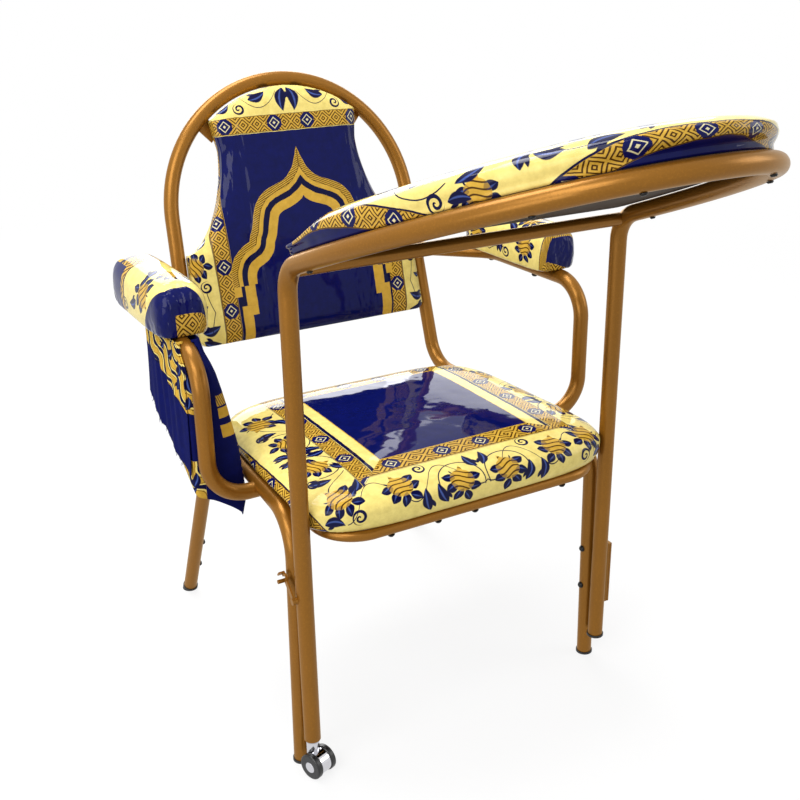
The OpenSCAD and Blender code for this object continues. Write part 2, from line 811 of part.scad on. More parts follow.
module hinge_leaf_chair() {
    in_frame() color(gold) difference() {
        union() {
            translate([hinge_x - leaf_t / 2, hinge_y, hinge_z0]) cube([leaf_t, leaf_w, hinge_h]);
            translate([rail_front_half + tube_r / 2, -foot_y - leaf_w / 4, hinge_z0])
                cube([hinge_x - rail_front_half - tube_r / 2, leaf_w / 2, hinge_h]);
            knuckle_row(0);
        }
        hinge_bore();
        knuckle_slots(1);
        mirrored(true) front_leg_core(2 * weld_gap);
        for (z = [hinge_low_z, hinge_high_z])
            translate([hinge_x - tube_d, -foot_y, z]) rotate([0, 90, 0])
                cylinder(d = hinge_bolt_d + 2 * slide_gap, h = 2 * tube_d);
    }
}

module hinge_leaf_table() {
    in_frame() color(gold) difference() {
        union() {
            translate([hinge_x - leaf_t / 2, hinge_y - leaf_w, hinge_z0]) cube([leaf_t, leaf_w, hinge_h]);
            translate([table_half + tube_r / 2, table_y - leaf_w / 4, hinge_z0])
                cube([hinge_x - table_half - tube_r / 2, leaf_w / 2, hinge_h]);
            knuckle_row(1);
        }
        hinge_bore();
        knuckle_slots(0);
        knuckle_slots(knuckles - 1);
        translate([table_half, table_y, hinge_z0 - overrun])
            cylinder(d = tube_d + 2 * weld_gap, h = hinge_h + 2 * overrun);
    }
}

module hinge_pin() {
    in_frame() color(steel) translate([hinge_x, hinge_y, hinge_z0]) {
        cylinder(d = hinge_pin_d, h = hinge_h);
        translate([0, 0, hinge_h]) cylinder(d = pin_head_d, h = pin_head_h);
    }
}

// Bolts through the chair's leg, heads on the inner side, nuts on the leaf
module hinge_bolts() {
    in_frame() color(black) for (z = [hinge_low_z, hinge_high_z]) {
        head_x = leg_x(z) - tube_r - weld_gap;
        leaf_x = hinge_x + leaf_t / 2 + weld_gap;
        translate([head_x, -foot_y, z]) {
            rotate([0, -90, 0]) bolt_head(bolt_d, bolt_h);
            rotate([0, 90, 0]) cylinder(d = hinge_bolt_d, h = leaf_x - head_x + nut_h);
        }
        translate([leaf_x, -foot_y, z]) rotate([0, 90, 0]) cylinder(d = nut_d, h = nut_h, $fn = 6);
    }
}

// A point of the table loop: across and forward along the slope, and off it
function on_loop(x, forward, off) =
    [x, table_y - forward * cos(table_tilt) + off * sin(table_tilt),
     table_z + forward * sin(table_tilt) + off * cos(table_tilt)];

// The table's own frame: X across, -Y forward along the slope, Z off the board
module on_table() {
    in_frame() translate([0, table_y, table_z]) rotate([-table_tilt, 0, 0]) children();
}

table_path = [
    [-table_half, table_y, table_leg_z], on_loop(-table_half, 0, 0), on_loop(-table_half, side_tip, 0),
    on_loop(0, nose_tip, 0), on_loop(table_half, side_tip, 0), on_loop(table_half, 0, 0),
    [table_half, table_y, table_leg_z]
];
table_radii = [table_bend_r, side_r, nose_r, side_r, table_bend_r];

module table_tube() {
    in_frame() color(gold) difference() {
        bent_tube(table_path, table_radii, tube_d);
        translate([-table_half, table_y, table_leg_z - overrun])
            cylinder(d = stem_d + 2 * slide_gap, h = stem_l + 2 * overrun);
        translate([table_half, table_y, table_leg_z - overrun])
            cylinder(d = plug_d + 2 * slide_gap, h = plug_l + 2 * overrun);
    }
}

module table_cross_tube() {
    a = on_loop(-table_half, cross_forward, -cross_drop);
    b = on_loop(table_half, cross_forward, -cross_drop);
    in_frame() color(gold) difference() {
        rod(a, b, cross_tube_d);
        bent_tube([for (i = [0:2]) table_path[i]], [table_bend_r], tube_d + 2 * weld_gap);
        bent_tube([for (i = [4:6]) table_path[i]], [table_bend_r], tube_d + 2 * weld_gap);
    }
}

// Outline of the table leaf, drawn out by d from the loop's centre line
function table_outline(d) =
    let (
        low = [table_half + d - table_corner_r, d - table_corner_r],
        corner = [for (a = [90:-30:0]) low + table_corner_r * [cos(a), sin(a)]],
        side = [for (i = [0:8]) let (a = side_turn * i / 8)
            [table_half - side_r * (1 - cos(a)) + d * cos(a), -lead - (side_r + d) * sin(a)]],
        nose = [for (i = [1:12]) let (a = side_turn + (90 - side_turn) * i / 12)
            [(nose_r + d) * cos(a), -(table_l - nose_r) - (nose_r + d) * sin(a)]],
        right = concat(corner, side, nose),
        n = len(right)
    ) concat(right, [for (i = [1:n - 1]) [-right[n - 1 - i][0], right[n - 1 - i][1]]]);

module table_board() {
    on_table() color(ply) translate([0, 0, tube_r + seat_gap]) linear_extrude(table_board_t)
        polygon(table_outline(-table_rim));
}

// Levels of the table cushion: size and height, both as shares
table_level_shares = [
    [0.965, 0], [0.99, 0.1], [1, 0.3], [0.994, 0.55], [0.965, 0.77], [0.9, 0.9], [0.75, 0.965], [0.45, 1]
];

module table_cushion() {
    middle = [0, -table_l * table_middle_share];
    base = tube_r + 2 * seat_gap + table_board_t;
    on_table() color(print_yellow) skin([for (s = table_level_shares)
        [for (p = table_outline(table_over)) let (q = middle + (p - middle) * s[0])
            [q[0], q[1], base + table_cushion_t * s[1]]]]);
}

// Screws that hold the board, up through the loop
module table_screws() {
    on_table() color(black) {
        for (a = screw_turns)
            translate([nose_r * cos(a), nose_r - table_l - nose_r * sin(a), -tube_r - weld_gap])
                rotate([180, 0, 0]) bolt_head(screw_d, screw_h);
        for (x = [-table_half, table_half])
            translate([x, -lead - table_screw_start, -tube_r - weld_gap])
                rotate([180, 0, 0]) bolt_head(screw_d, screw_h);
    }
}

module table_leg_cap() {
    in_frame() color(black) translate([table_half, table_y, table_leg_z]) {
        cylinder(d = plug_d, h = plug_l);
        translate([0, 0, -cap_t]) cylinder(d = tube_d + 2 * cap_wall, h = cap_t);
    }
}

latch_x = -table_half - tube_r - hook_space;

// Boss, shank and head that carry the hook on the table's castor leg
module latch_rivet() {
    head_x = latch_x - hook_t - weld_gap;
    in_frame() color(gold) translate([0, table_y, hook_pivot_z]) difference() {
        rotate([0, 90, 0]) {
            translate([0, 0, latch_x + weld_gap]) cylinder(d = rivet_head_d, h = hook_space + tube_r / 2);
            translate([0, 0, head_x - weld_gap]) cylinder(d = rivet_d, h = hook_t + tube_r / 2);
            translate([0, 0, head_x - rivet_head_h]) cylinder(d = rivet_head_d, h = rivet_head_h);
        }
        translate([-table_half, 0, -tube_d]) cylinder(d = tube_d + 2 * weld_gap, h = 2 * tube_d);
    }
}

// Flat hook that drops over the peg; it rests just above it
module latch_hook() {
    slot = peg_d / 2 + hook_play;
    in_frame() color(gold) translate([latch_x, table_y, hook_pivot_z])
        rotate([hook_rake + hook_raise, 0, 0]) rotate([90, 0, -90]) mirror([1, 0, 0]) {
            linear_extrude(hook_t) difference() {
                union() {
                    circle(d = hook_w + hook_play);
                    translate([0, -hook_w / 2]) square([hook_l + hook_nose, hook_w]);
                    translate([hook_l, 0]) circle(d = hook_w + peg_d);
                }
                circle(d = rivet_d + 2 * slide_gap);
                translate([hook_l, 0]) circle(r = slot);
                translate([hook_l - slot, -hook_w - peg_d]) square([2 * slot, hook_w + peg_d]);
                translate([0, -hook_w / 2 - peg_d]) square([hook_l + hook_nose + peg_d, peg_d]);
            }
            translate([hook_l + hook_nose - hook_tab_t, -hook_w / 2, 0])
                cube([hook_tab_t, hook_w, hook_tab_l]);
        }
}

// The castor's own frame: Z up the swivel axis, X along the axle
module on_castor() {
    in_frame() translate([castor_x, table_y, 0]) rotate([0, 0, castor_turn]) children();
}

module castor_stem() {
    on_castor() color(steel) {
        translate([0, 0, table_leg_z - stem_flange_t - weld_gap])
            cylinder(d = stem_flange_d, h = stem_flange_t);
        translate([0, 0, table_leg_z - weld_gap]) cylinder(d = stem_d, h = stem_l);
        translate([0, 0, table_leg_z - stem_flange_t - stem_pin_l]) cylinder(d = stem_pin_d, h = stem_pin_l);
    }
}

module castor_hood() {
    on_castor() color(steel) difference() {
        union() {
            translate([-hood_w / 2, -castor_trail, axle_z]) rotate([0, 90, 0])
                cylinder(r = hood_r, h = hood_w);
            translate([0, 0, axle_z]) cylinder(d = hood_neck_d, h = hood_top_z - axle_z);
        }
        translate([0, 0, hood_top_z - stem_pin_l])
            cylinder(d = stem_pin_d + 2 * slide_gap, h = stem_pin_l + overrun);
        translate([-hood_w, -castor_trail, axle_z]) rotate([0, 90, 0])
            cylinder(d = axle_d + 2 * slide_gap, h = 2 * hood_w);
        for (side = [-1, 1])
            translate([side * (hood_w / 2 + wheel_w) - wheel_w, -castor_trail, axle_z]) rotate([0, 90, 0])
                cylinder(d = wheel_d + 2 * wheel_gap, h = 2 * wheel_w);
        translate([-hood_neck_d, -hood_neck_d - castor_trail, -axle_z])
            cube([2 * hood_neck_d, 2 * hood_neck_d, axle_z + wheel_gap + cap_t / 2]);
    }
}

module castor_axle() {
    half = hood_w / 2 + wheel_gap + wheel_w - disc_seat - weld_gap;
    on_castor() color(steel) translate([-half, -castor_trail, axle_z]) rotate([0, 90, 0])
        cylinder(d = axle_d, h = 2 * half);
}

// A wheel with a rounded tread and a shallow seat for its disc
module castor_wheel(side) {
    on_castor() color(black) translate([side * (hood_w / 2 + wheel_gap), -castor_trail, axle_z])
        rotate([0, side * 90, 0]) difference() {
            rotate_extrude($fn = 64) {
                translate([0, wheel_round]) square([wheel_d / 2, wheel_w - 2 * wheel_round]);
                square([wheel_d / 2 - wheel_round, wheel_w]);
                for (z = [wheel_round, wheel_w - wheel_round])
                    translate([wheel_d / 2 - wheel_round, z]) circle(r = wheel_round);
            }
            translate([0, 0, -overrun]) cylinder(d = axle_d + 2 * slide_gap, h = wheel_w + 2 * overrun);
            translate([0, 0, wheel_w - disc_seat]) cylinder(d = disc_d + 2 * weld_gap, h = disc_seat + overrun);
        }
}

module castor_wheel_left() { castor_wheel(-1); }
module castor_wheel_right() { castor_wheel(1); }

module castor_disc(side) {
    x = hood_w / 2 + wheel_gap + wheel_w - disc_seat;
    on_castor() color(steel) translate([side * x, -castor_trail, axle_z]) rotate([0, side * 90, 0])
        rotate_extrude() polygon([
            [0, 0], [disc_d / 2, 0], [disc_d / 2, disc_t - disc_round],
            [disc_d / 2 - disc_round, disc_t], [0, disc_t]
        ]);
}

module castor_disc_left() { castor_disc(-1); }
module castor_disc_right() { castor_disc(1); }

side_frame_left();
side_frame_right();
back_hoop();
rear_leg_left();
rear_leg_right();
arm_tube_left();
arm_tube_right();
seat_frame();
seat_strap_front();
seat_strap_rear();
foot_caps();
leg_plugs();
seat_board();
seat_cushion();
seat_bolts();
back_board();
back_cushion();
back_lugs();
back_screws();
arm_board_left();
arm_board_right();
arm_pad_left();
arm_pad_right();
arm_bolts();
cloth_pocket();
latch_peg();
hinge_leaf_chair();
hinge_pin();
hinge_bolts();
hinge_leaf_table();
table_tube();
table_cross_tube();
table_board();
table_cushion();
table_screws();
table_leg_cap();
latch_rivet();
latch_hook();
castor_stem();
castor_hood();
castor_axle();
castor_wheel_left();
castor_wheel_right();
castor_disc_left();
castor_disc_right();
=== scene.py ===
"""Looks for the prayer chair: paint, printed covers, cushions, cloth and a plain stage."""

import json
from functools import partialmethod
from math import acos, atan, atan2, cos, exp, hypot, pi, radians, sin, tan

import bmesh
import bpy
import numpy as np
from bpy.props import FloatProperty, FloatVectorProperty, PointerProperty
from mathutils import Matrix, Vector


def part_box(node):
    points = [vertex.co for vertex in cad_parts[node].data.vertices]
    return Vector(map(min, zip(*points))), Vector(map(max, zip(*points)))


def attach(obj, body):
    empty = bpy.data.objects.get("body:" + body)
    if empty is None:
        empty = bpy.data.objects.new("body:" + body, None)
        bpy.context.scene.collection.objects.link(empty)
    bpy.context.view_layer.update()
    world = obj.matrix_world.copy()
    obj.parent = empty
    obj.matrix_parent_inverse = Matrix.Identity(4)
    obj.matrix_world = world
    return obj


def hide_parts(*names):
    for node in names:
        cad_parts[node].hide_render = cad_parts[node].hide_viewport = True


bl_info = {
    "name": "Prayer chair looks",
    "version": (1, 0, 0),
    "blender": (4, 5, 0),
    "location": "3D View > Sidebar > Prayer chair",
    "description": "Dresses the packed prayer chair with paint, printed covers and soft pieces",
    "category": "Object",
}

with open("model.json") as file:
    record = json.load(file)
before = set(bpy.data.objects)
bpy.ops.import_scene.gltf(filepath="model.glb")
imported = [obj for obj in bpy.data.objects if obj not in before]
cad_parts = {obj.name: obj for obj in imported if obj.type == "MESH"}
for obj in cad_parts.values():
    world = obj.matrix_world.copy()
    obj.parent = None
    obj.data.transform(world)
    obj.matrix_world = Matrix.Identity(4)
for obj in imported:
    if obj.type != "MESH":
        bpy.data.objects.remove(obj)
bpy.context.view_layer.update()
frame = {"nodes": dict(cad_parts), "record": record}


# ---- shader arithmetic

# How far a mask fades at its edge, in metres
BLUR = 0.0004


def feed(slot, v):
    """Gives a socket a plain value, or links a number or another socket to it."""
    if isinstance(v, Val):
        v = v.socket
    if isinstance(v, bpy.types.NodeSocket):
        slot.id_data.links.new(v, slot)
    else:
        slot.default_value = v


def fill_in(node, **values):
    """Feeds sockets of a node by their names, with _ for a space."""
    for name, v in values.items():
        feed(node.inputs[name.replace("_", " ")], v)


class Val:
    """A number in a shader tree, with ordinary arithmetic."""

    def __init__(self, tree, socket):
        self.tree = tree
        self.socket = socket

    def op(self, name, *others, clamp=False):
        node = self.tree.nodes.new("ShaderNodeMath")
        node.operation = name
        node.use_clamp = clamp
        for slot, v in zip(node.inputs, (self,) + others):
            feed(slot, v)
        return Val(self.tree, node.outputs[0])

    __add__ = __radd__ = partialmethod(op, "ADD")
    __sub__ = partialmethod(op, "SUBTRACT")
    __mul__ = __rmul__ = partialmethod(op, "MULTIPLY")
    __truediv__ = partialmethod(op, "DIVIDE")
    __abs__ = partialmethod(op, "ABSOLUTE")
    fract = partialmethod(op, "FRACT")
    sin = partialmethod(op, "SINE")
    low = partialmethod(op, "MINIMUM")
    high = partialmethod(op, "MAXIMUM")

    def __rsub__(self, o):
        return self.op("MULTIPLY_ADD", -1.0, o)

    def rise(self, edge, slope):
        """From 0 to 1 through the edge, or back where the slope is negative."""
        if isinstance(edge, Val):
            return (self - edge).rise(0, slope)
        return self.op("MULTIPLY_ADD", slope, 0.5 - edge * slope, clamp=True)

    def below(self, edge, blur=BLUR):
        """1 where the value is under the edge, fading over the blur."""
        return self.rise(edge, -1 / blur)

    def above(self, edge, blur=BLUR):
        """1 where the value is over the edge."""
        return self.rise(edge, 1 / blur)

    def between(self, a, b, blur=BLUR):
        """1 between two edges."""
        return self.above(a, blur) * self.below(b, blur)

    def repeat(self, pitch):
        """The value's distance from the nearest whole pitch, signed."""
        return ((self / pitch + 0.5).fract() - 0.5) * pitch


def radius(x, y):
    return (x * x + y * y).op("SQRT")


def turned(x, y, degrees):
    """The point in axes turned by some degrees."""
    c, s = cos(radians(degrees)), sin(radians(degrees))
    return x * c + y * s, y * c - x * s


def ramp(mask, base, colour, blend="MIX"):
    """Lays a colour over a base where the mask is 1."""
    node = mask.tree.nodes.new("ShaderNodeMix")
    node.data_type, node.blend_type = "RGBA", blend
    fill_in(node, Factor=mask)
    for slot, v in zip(node.inputs[6:], (base, colour)):
        feed(slot, v if isinstance(v, bpy.types.NodeSocket) else (*v, 1))
    return node.outputs[2]


def motif(*tones):
    """Makes a function of x and y into a node group, built once and placed often, with a mask for each tone."""

    def wrap(build):
        name = "Chair " + build.__name__

        def use(x, y):
            if name not in bpy.data.node_groups:
                tree = bpy.data.node_groups.new(name, "ShaderNodeTree")
                for way, sockets in (("INPUT", ("x", "y")), ("OUTPUT", tones)):
                    for n in sockets:
                        tree.interface.new_socket(n, in_out=way, socket_type="NodeSocketFloat")
                a, b = tree.nodes.new("NodeGroupInput"), tree.nodes.new("NodeGroupOutput")
                fill_in(b, **dict(zip(tones, build(*(Val(tree, o) for o in a.outputs[:2])))))
            node = x.tree.nodes.new("ShaderNodeGroup")
            node.node_tree = bpy.data.node_groups[name]
            fill_in(node, x=x, y=y)
            return [(Val(x.tree, node.outputs[tone]), tone) for tone in tones]

        return use

    return wrap


@motif("gold", "brown", "ink", "blue")
def lotus(x, y):
    """A fan of wavy gold in a ring of plump dark petals that is open above, one unit in radius. Each petal carries a
    painted highlight: a pale blue streak along one side that stands in for the sheen of the clear film.
    """
    r, a = radius(x, y), y.op("ARCTAN2", x)
    cell = 2 * pi / 8
    order = a / cell
    turn = (order.fract() - 0.5) * cell
    order = order - order.fract()
    along = r * turn.op("COSINE") - ((order * 2.3).sin() * 0.07 + 0.69)
    aside = r * turn.sin() + along * (order * 1.7 + 0.6).sin() * 0.4
    petal = abs(aside).below((0.37 - along) * (along + 0.33) * 1.95, 0.03)
    petal = petal * along.between(-0.33, 0.37, 0.02) * (1 - a.between(0.8, 2.2, 0.02))
    # Painted highlight: a pale blue streak along one side of each petal, standing in for the shine of the clear film
    light = abs(aside + 0.05 - along * 0.2).below((0.25 - abs(along)) * 0.16, 0.04) * petal
    heart = (x * x * 2.2 + (y - 0.1) * (y - 0.1) * 2.6).below(0.9, 0.06)
    lip = abs(x - (y - 0.5) * 0.2).below((1.0 - y) * 0.5, 0.03) * y.above(0.3, 0.03)
    gold = heart.high(lip)
    wave = abs((y * 11 + (x * 4.2).sin() * 1.1 + x * x * 2.4).sin()).below(0.42, 0.3)
    petal = petal * (1 - gold * 0.55)
    # The last mask is the painted petal highlight, laid in the blue that also draws the leaf veins
    return gold, wave * gold, petal, light * petal * 0.8


@motif("ink", "blue")
def leaf(x, y):
    """A pointed leaf one unit long, bowed to one side, with a short lobe at its foot."""
    bow = x - y * y * 0.5
    shape = abs(bow).below((0.25 - y * y) * (1 - y * 0.5) * 0.92, 0.03) * abs(y).below(0.49, 0.02)
    lobe = abs(x - 0.19 + y * 0.35).below((0.045 - (y + 0.2) * (y + 0.2)) * 2.1, 0.03)
    return shape.high(lobe), abs(bow + 0.03).below((0.22 - y * y) * 0.17, 0.04) * shape


@motif("ink")
def curl(x, y):
    """A hooked spiral one unit in radius, thickest at its outer turn."""
    r, a = radius(x, y), y.op("ARCTAN2", x)
    turn = (r * 1.5 - a / (2 * pi)).fract()
    arm = abs(turn - 0.5).below(r * 0.2 + 0.14, 0.05)
    return (arm * r.below(0.97, 0.04),)


@motif("brown")
def lozenges(x, y):
    """Nested diamonds, one to a unit square."""
    d = abs(x.fract() - 0.5) + abs(y.fract() - 0.5)
    return (abs((d * 4.0).fract() - 0.5).below(0.2, 0.12),)


@motif("navy", "pale")
def medallion(x, y):
    """A dark octagon with a pale diamond in it, one unit in radius."""
    ax, ay = abs(x), abs(y)
    d = ax + ay
    eight = ax.high(ay).high(d * 0.72)
    ring = abs(d - 0.66).below(0.075, 0.05)
    heart = d.below(0.2, 0.05)
    return eight.below(0.96, 0.04), ring.high(heart)


class Print:
    """A printed cover in the making: a stack of colours over a place on the cloth."""

    def __init__(self, base):
        self.tones = colours()
        self.top = self.tones[base]

    def lay(self, mask, tone):
        self.top = ramp(mask, self.top, self.tones[tone])

    def line(self, offset, where=1, wide=0.0009, tone="ink"):
        """A thin drawn line where the offset passes through nothing."""
        self.lay(abs(offset).below(wide) * where, tone)

    def put(self, figure, x, y, where):
        for mask, tone in figure(x, y):
            self.lay(mask * where, tone)

    def scatter(self, figure, x, y, where, *rows):
        """One figure at several places: each row is its x, y and size in millimetres and its turn in degrees."""
        for at_x, at_y, size, degrees in rows:
            u, v = turned(x - at_x / 1000, y - at_y / 1000, degrees)
            self.put(figure, u / (size / 1000), v / (size / 1000), where)

    def hatch_band(self, s, t, half, where, pitch=None, start=0.0):
        """A gold band of nested diamonds along s, with a dark medallion every pitch."""
        self.lay(where, "gold")
        self.put(lozenges, s / (half * 1.75), t / (half * 1.75) + 0.5, where * abs(t).below(half * 0.88))
        self.line(abs(t) - half * 0.95, where, half * 0.05, "brown")
        if pitch:
            self.put(medallion, (s - start).repeat(pitch) / (half * 0.95), t / (half * 0.95), where)


def linear(rgb):
    """Screen colour to linear light."""
    return [c / 12.92 if c < 0.04045 else ((c + 0.055) / 1.055) ** 2.4 for c in rgb]


def colours():
    s = bpy.context.scene.chair_cover
    tones = {n: linear(getattr(s, n)) for n in ("yellow", "gold", "brown", "navy", "ink", "blue", "pale")}
    tones["dark"] = [v * 0.5 for v in tones["navy"]]
    return tones


def shader(name):
    """A new material, its tree and its surface."""
    m = bpy.data.materials.new(name)
    m.use_nodes = True
    return m, m.node_tree, m.node_tree.nodes["Principled BSDF"]


def noise(tree, coords, scale, detail=2.0, rough=0.5, stretch=None):
    """Noise over some coordinates, as a number about 0.5."""
    if stretch:
        m = tree.nodes.new("ShaderNodeMapping")
        fill_in(m, Scale=stretch, Vector=coords)
        coords = m.outputs["Vector"]
    n = tree.nodes.new("ShaderNodeTexNoise")
    fill_in(n, Scale=scale, Detail=detail, Roughness=rough, Vector=coords)
    return Val(tree, n.outputs["Fac"])


def bump(height, strength, distance, **under):
    """The normal over a height, and over another normal if there is one."""
    b = height.tree.nodes.new("ShaderNodeBump")
    fill_in(b, Strength=strength, Distance=distance, Height=height, **under)
    return b.outputs["Normal"]


def parts_of(tree, vector):
    """The first two parts of a vector, as numbers."""
    split = tree.nodes.new("ShaderNodeSeparateXYZ")
    fill_in(split, Vector=vector)
    return Val(tree, split.outputs[0]), Val(tree, split.outputs[1])


def object_place(tree):
    return tree.nodes.new("ShaderNodeTexCoord").outputs["Object"]


# How far the print strays from its drawing, in metres
STRAY = 0.0022
MOTTLE = (0.74, 0.7, 0.58)


def printed(name, draw, base="yellow", glossy=True, crumple=0.0, ripple=0.0):
    """A cover with a drawn print, bare or under clear film. Crumple and ripple are the heights of folds in the film."""
    m, tree, body = shader(name)
    # The place on the flat cloth, in metres
    cloth = tree.nodes.new("ShaderNodeUVMap")
    cloth.uv_map = "print"
    flat = cloth.outputs["UV"]
    x, y = parts_of(tree, flat)
    x = x + (noise(tree, flat, 42.0) - 0.5) * STRAY
    y = y + (noise(tree, flat, 37.0, stretch=(1.3, 0.8, 1.0)) - 0.5) * STRAY
    p = Print(base)
    draw(p, x, y)
    shade = noise(tree, flat, 60.0, 5.0, 0.7)
    fill_in(body, Base_Color=ramp(shade.above(0.52, 0.5), p.top, MOTTLE, "MULTIPLY"))
    if glossy:
        s = bpy.context.scene.chair_cover
        at = object_place(tree)
        wave = noise(tree, at, 9.0) + noise(tree, at, 34.0, 1.0) * 0.16
        film = bump(wave, 0.35, s.film_wave)
        if crumple:
            fold = abs(noise(tree, at, 26.0, 2.0, 0.55, stretch=(1.6, 0.7, 1.0)) - 0.5)
            film = bump(fold.low(0.12) * abs(y).above(0.105, 0.03), 0.8, crumple, Normal=film)
        if ripple:
            fold = noise(tree, at, 24.0, stretch=(1.4, 1.0, 0.16))
            film = bump(fold * abs(x).above(0.085, 0.04), 0.8, ripple, Normal=film)
        fill_in(body, Roughness=0.42, Specular_IOR_Level=0.0, Normal=bump(wave, 0.2, s.film_wave),
                Coat_Weight=1.0, Coat_Roughness=0.045, Coat_IOR=s.film_index, Coat_Normal=film)
    else:
        fill_in(body, Roughness=0.9, Specular_IOR_Level=0.1, Normal=bump(noise(tree, flat, 900.0, 1.0), 0.6, 0.0006))
    return m


# ---- meshes

# Points nearer than this are one, in metres
WELD = 2e-6


def placed(name, data):
    """A new object in the scene."""
    o = bpy.data.objects.new(name, data)
    bpy.context.scene.collection.objects.link(o)
    return o


def mesh_object(name, points, faces, places, material):
    """A mesh with a cloth place for each point."""
    me = bpy.data.meshes.new(name)
    me.from_pydata([tuple(p) for p in points], [], faces)
    layer = me.uv_layers.new(name="print")
    idx = np.zeros(len(me.loops), np.int32)
    me.loops.foreach_get("vertex_index", idx)
    layer.data.foreach_set("uv", np.asarray(places, np.float32)[idx].ravel())
    form = bmesh.new()
    form.from_mesh(me)
    bmesh.ops.remove_doubles(form, verts=form.verts, dist=WELD)
    form.to_mesh(me)
    form.free()
    me.shade_smooth()
    me.materials.append(material)
    me.validate()
    return placed(name, me)


def skin(name, rings, places, material, closed=True, low_cap=True, high_cap=True):
    """A mesh over rows of rings. Each ring is a row of points, each with its cloth place."""
    rings = np.asarray(rings, float)
    places = np.asarray(places, float)
    m, k = rings.shape[:2]
    pts, uvs = list(rings.reshape(-1, 3)), list(places.reshape(-1, 2))
    faces = []
    span = k if closed else k - 1
    for j in range(m - 1):
        for i in range(span):
            i2 = (i + 1) % k
            faces.append((j * k + i, j * k + i2, (j + 1) * k + i2, (j + 1) * k + i))
    for cap, row, flip in ((low_cap, 0, True), (high_cap, m - 1, False)):
        if cap:
            mid = len(pts)
            pts.append(rings[row].mean(0))
            uvs.append(places[row].mean(0))
            for i in range(span):
                a, b = row * k + i, row * k + (i + 1) % k
                faces.append((b, a, mid) if flip else (a, b, mid))
    return mesh_object(name, pts, faces, uvs, material)


def lengths(line):
    """How far along a line of points each of them is."""
    return np.r_[0, np.cumsum(np.linalg.norm(np.diff(line, axis=0), axis=1))]


def evenly(line, count):
    """A count of points spaced evenly along a line of points."""
    line = np.array(line, float)
    run = lengths(line)
    at = np.linspace(0, run[-1], count)
    return np.stack([np.interp(at, run, c) for c in line.T], 1)


def through(table, count):
    """Smooth samples through the rows of a table (Catmull-Rom), evenly by length."""
    t = np.asarray(table, float)
    ext = np.vstack([2 * t[0] - t[1], t, 2 * t[-1] - t[-2]])
    fine = []
    for p0, p1, p2, p3 in zip(ext, ext[1:], ext[2:], ext[3:]):
        for u in np.linspace(0, 1, 16, endpoint=False):
            fine.append(0.5 * (2 * p1 + (p2 - p0) * u + (2 * p0 - 5 * p1 + 4 * p2 - p3) * u**2
                               + (3 * p1 - p0 - 3 * p2 + p3) * u**3))
    return evenly(fine + [t[-1]], count)


def outward(edge):
    """The way out of a closed outline at each of its points."""
    t = np.roll(edge, -1, 0) - np.roll(edge, 1, 0)
    return np.stack([t[:, 1], -t[:, 0]], 1) / np.linalg.norm(t, axis=1)[:, None]


def mirrored(half):
    """A closed outline from the half on one side of x = 0."""
    return np.vstack([half, half[1:-1][::-1] * [-1, 1]])


def arc(centre, r, start, end, count):
    """Points on an arc, with its angles in radians."""
    return [[centre[0] + r * cos(t), centre[1] + r * sin(t)] for t in np.linspace(start, end, count)]


def from_edge(p, edge):
    """How far each point is from an outline."""
    return np.min(np.linalg.norm(p[:, None, :] - edge[None, :, :], axis=2), axis=1)


def level(p, z):
    """Points of a plane at height z."""
    return np.stack([p[:, 0], p[:, 1], np.broadcast_to(z, len(p))], 1)


def squircle(c, share):
    return np.sign(c) * np.abs(c) ** share


def ripples(a, seed, count, low, high):
    """A smooth random wave over an angle, about -1 to 1."""
    rng = np.random.default_rng(seed)
    k = rng.integers(low, high, count)
    ph = rng.uniform(0, 2 * pi, count)
    w = rng.uniform(0.4, 1.0, count)
    return (w[:, None] * np.sin(k[:, None] * a[None, :] + ph[:, None])).sum(0) / w.sum()


def unrolled(rings):
    """Cloth places: the top as it lies, and the sides let down square to the outline."""
    r = np.asarray(rings, float)[::-1]
    out = outward(r[np.argmax(np.ptp(r[..., 0], axis=1)), :, :2])
    step = np.diff(r, axis=0)
    flat = np.linalg.norm(step[..., :2], axis=2)
    grow = np.linalg.norm(step, axis=2) - np.sign((step[..., :2] * out).sum(-1)) * flat
    down = np.vstack([np.zeros(r.shape[1]), np.cumsum(grow, axis=0)])
    return (r[..., :2] + out * down[..., None])[::-1]


def even_angles(wide, deep, share, n):
    """Angles that set points evenly round a squircle."""
    a = np.linspace(0, 2 * pi, 6001) + 0.001
    p = np.stack([wide * squircle(np.cos(a), share), deep * squircle(np.sin(a), share)], 1)
    run = lengths(p)
    return np.interp(np.linspace(0, run[-1], n, endpoint=False), run, a)


# ---- settings

COLOUR = {"subtype": "COLOR", "size": 3, "min": 0, "max": 1}
POWER = {"unit": "POWER", "min": 0, "max": 500}
SHARE = {"subtype": "FACTOR", "min": 0, "max": 1}


class CoverSettings(bpy.types.PropertyGroup):
    """Colours of the printed cover and its clear film."""

    yellow: FloatVectorProperty(name="Yellow", description="Ground of the print", default=(0.97, 0.895, 0.54), **COLOUR)
    gold: FloatVectorProperty(name="Gold", description="Bands and flower hearts", default=(0.86, 0.69, 0.27), **COLOUR)
    brown: FloatVectorProperty(name="Brown", description="Lines in the gold", default=(0.3, 0.19, 0.05), **COLOUR)
    navy: FloatVectorProperty(name="Navy", description="Fields and medallions", default=(0.04, 0.07, 0.35), **COLOUR)
    ink: FloatVectorProperty(name="Ink", description="Petals and leaves", default=(0.045, 0.055, 0.25), **COLOUR)
    # This blue draws the veins in the leaves and also paints the highlight streaks on the lotus petals, which are
    # painted sheen
    blue: FloatVectorProperty(name="Blue", description="Veins in the leaves", default=(0.27, 0.36, 0.66), **COLOUR)
    pale: FloatVectorProperty(name="Pale", description="Medallion diamonds", default=(0.93, 0.9, 0.72), **COLOUR)
    film_wave: FloatProperty(name="Film wave", description="Height of the ripples in the clear film",
                             default=0.006, min=0, max=0.02, subtype="DISTANCE", unit="LENGTH")
    film_index: FloatProperty(name="Film index", description="Refractive index of the film", default=1.23, min=1, max=2)


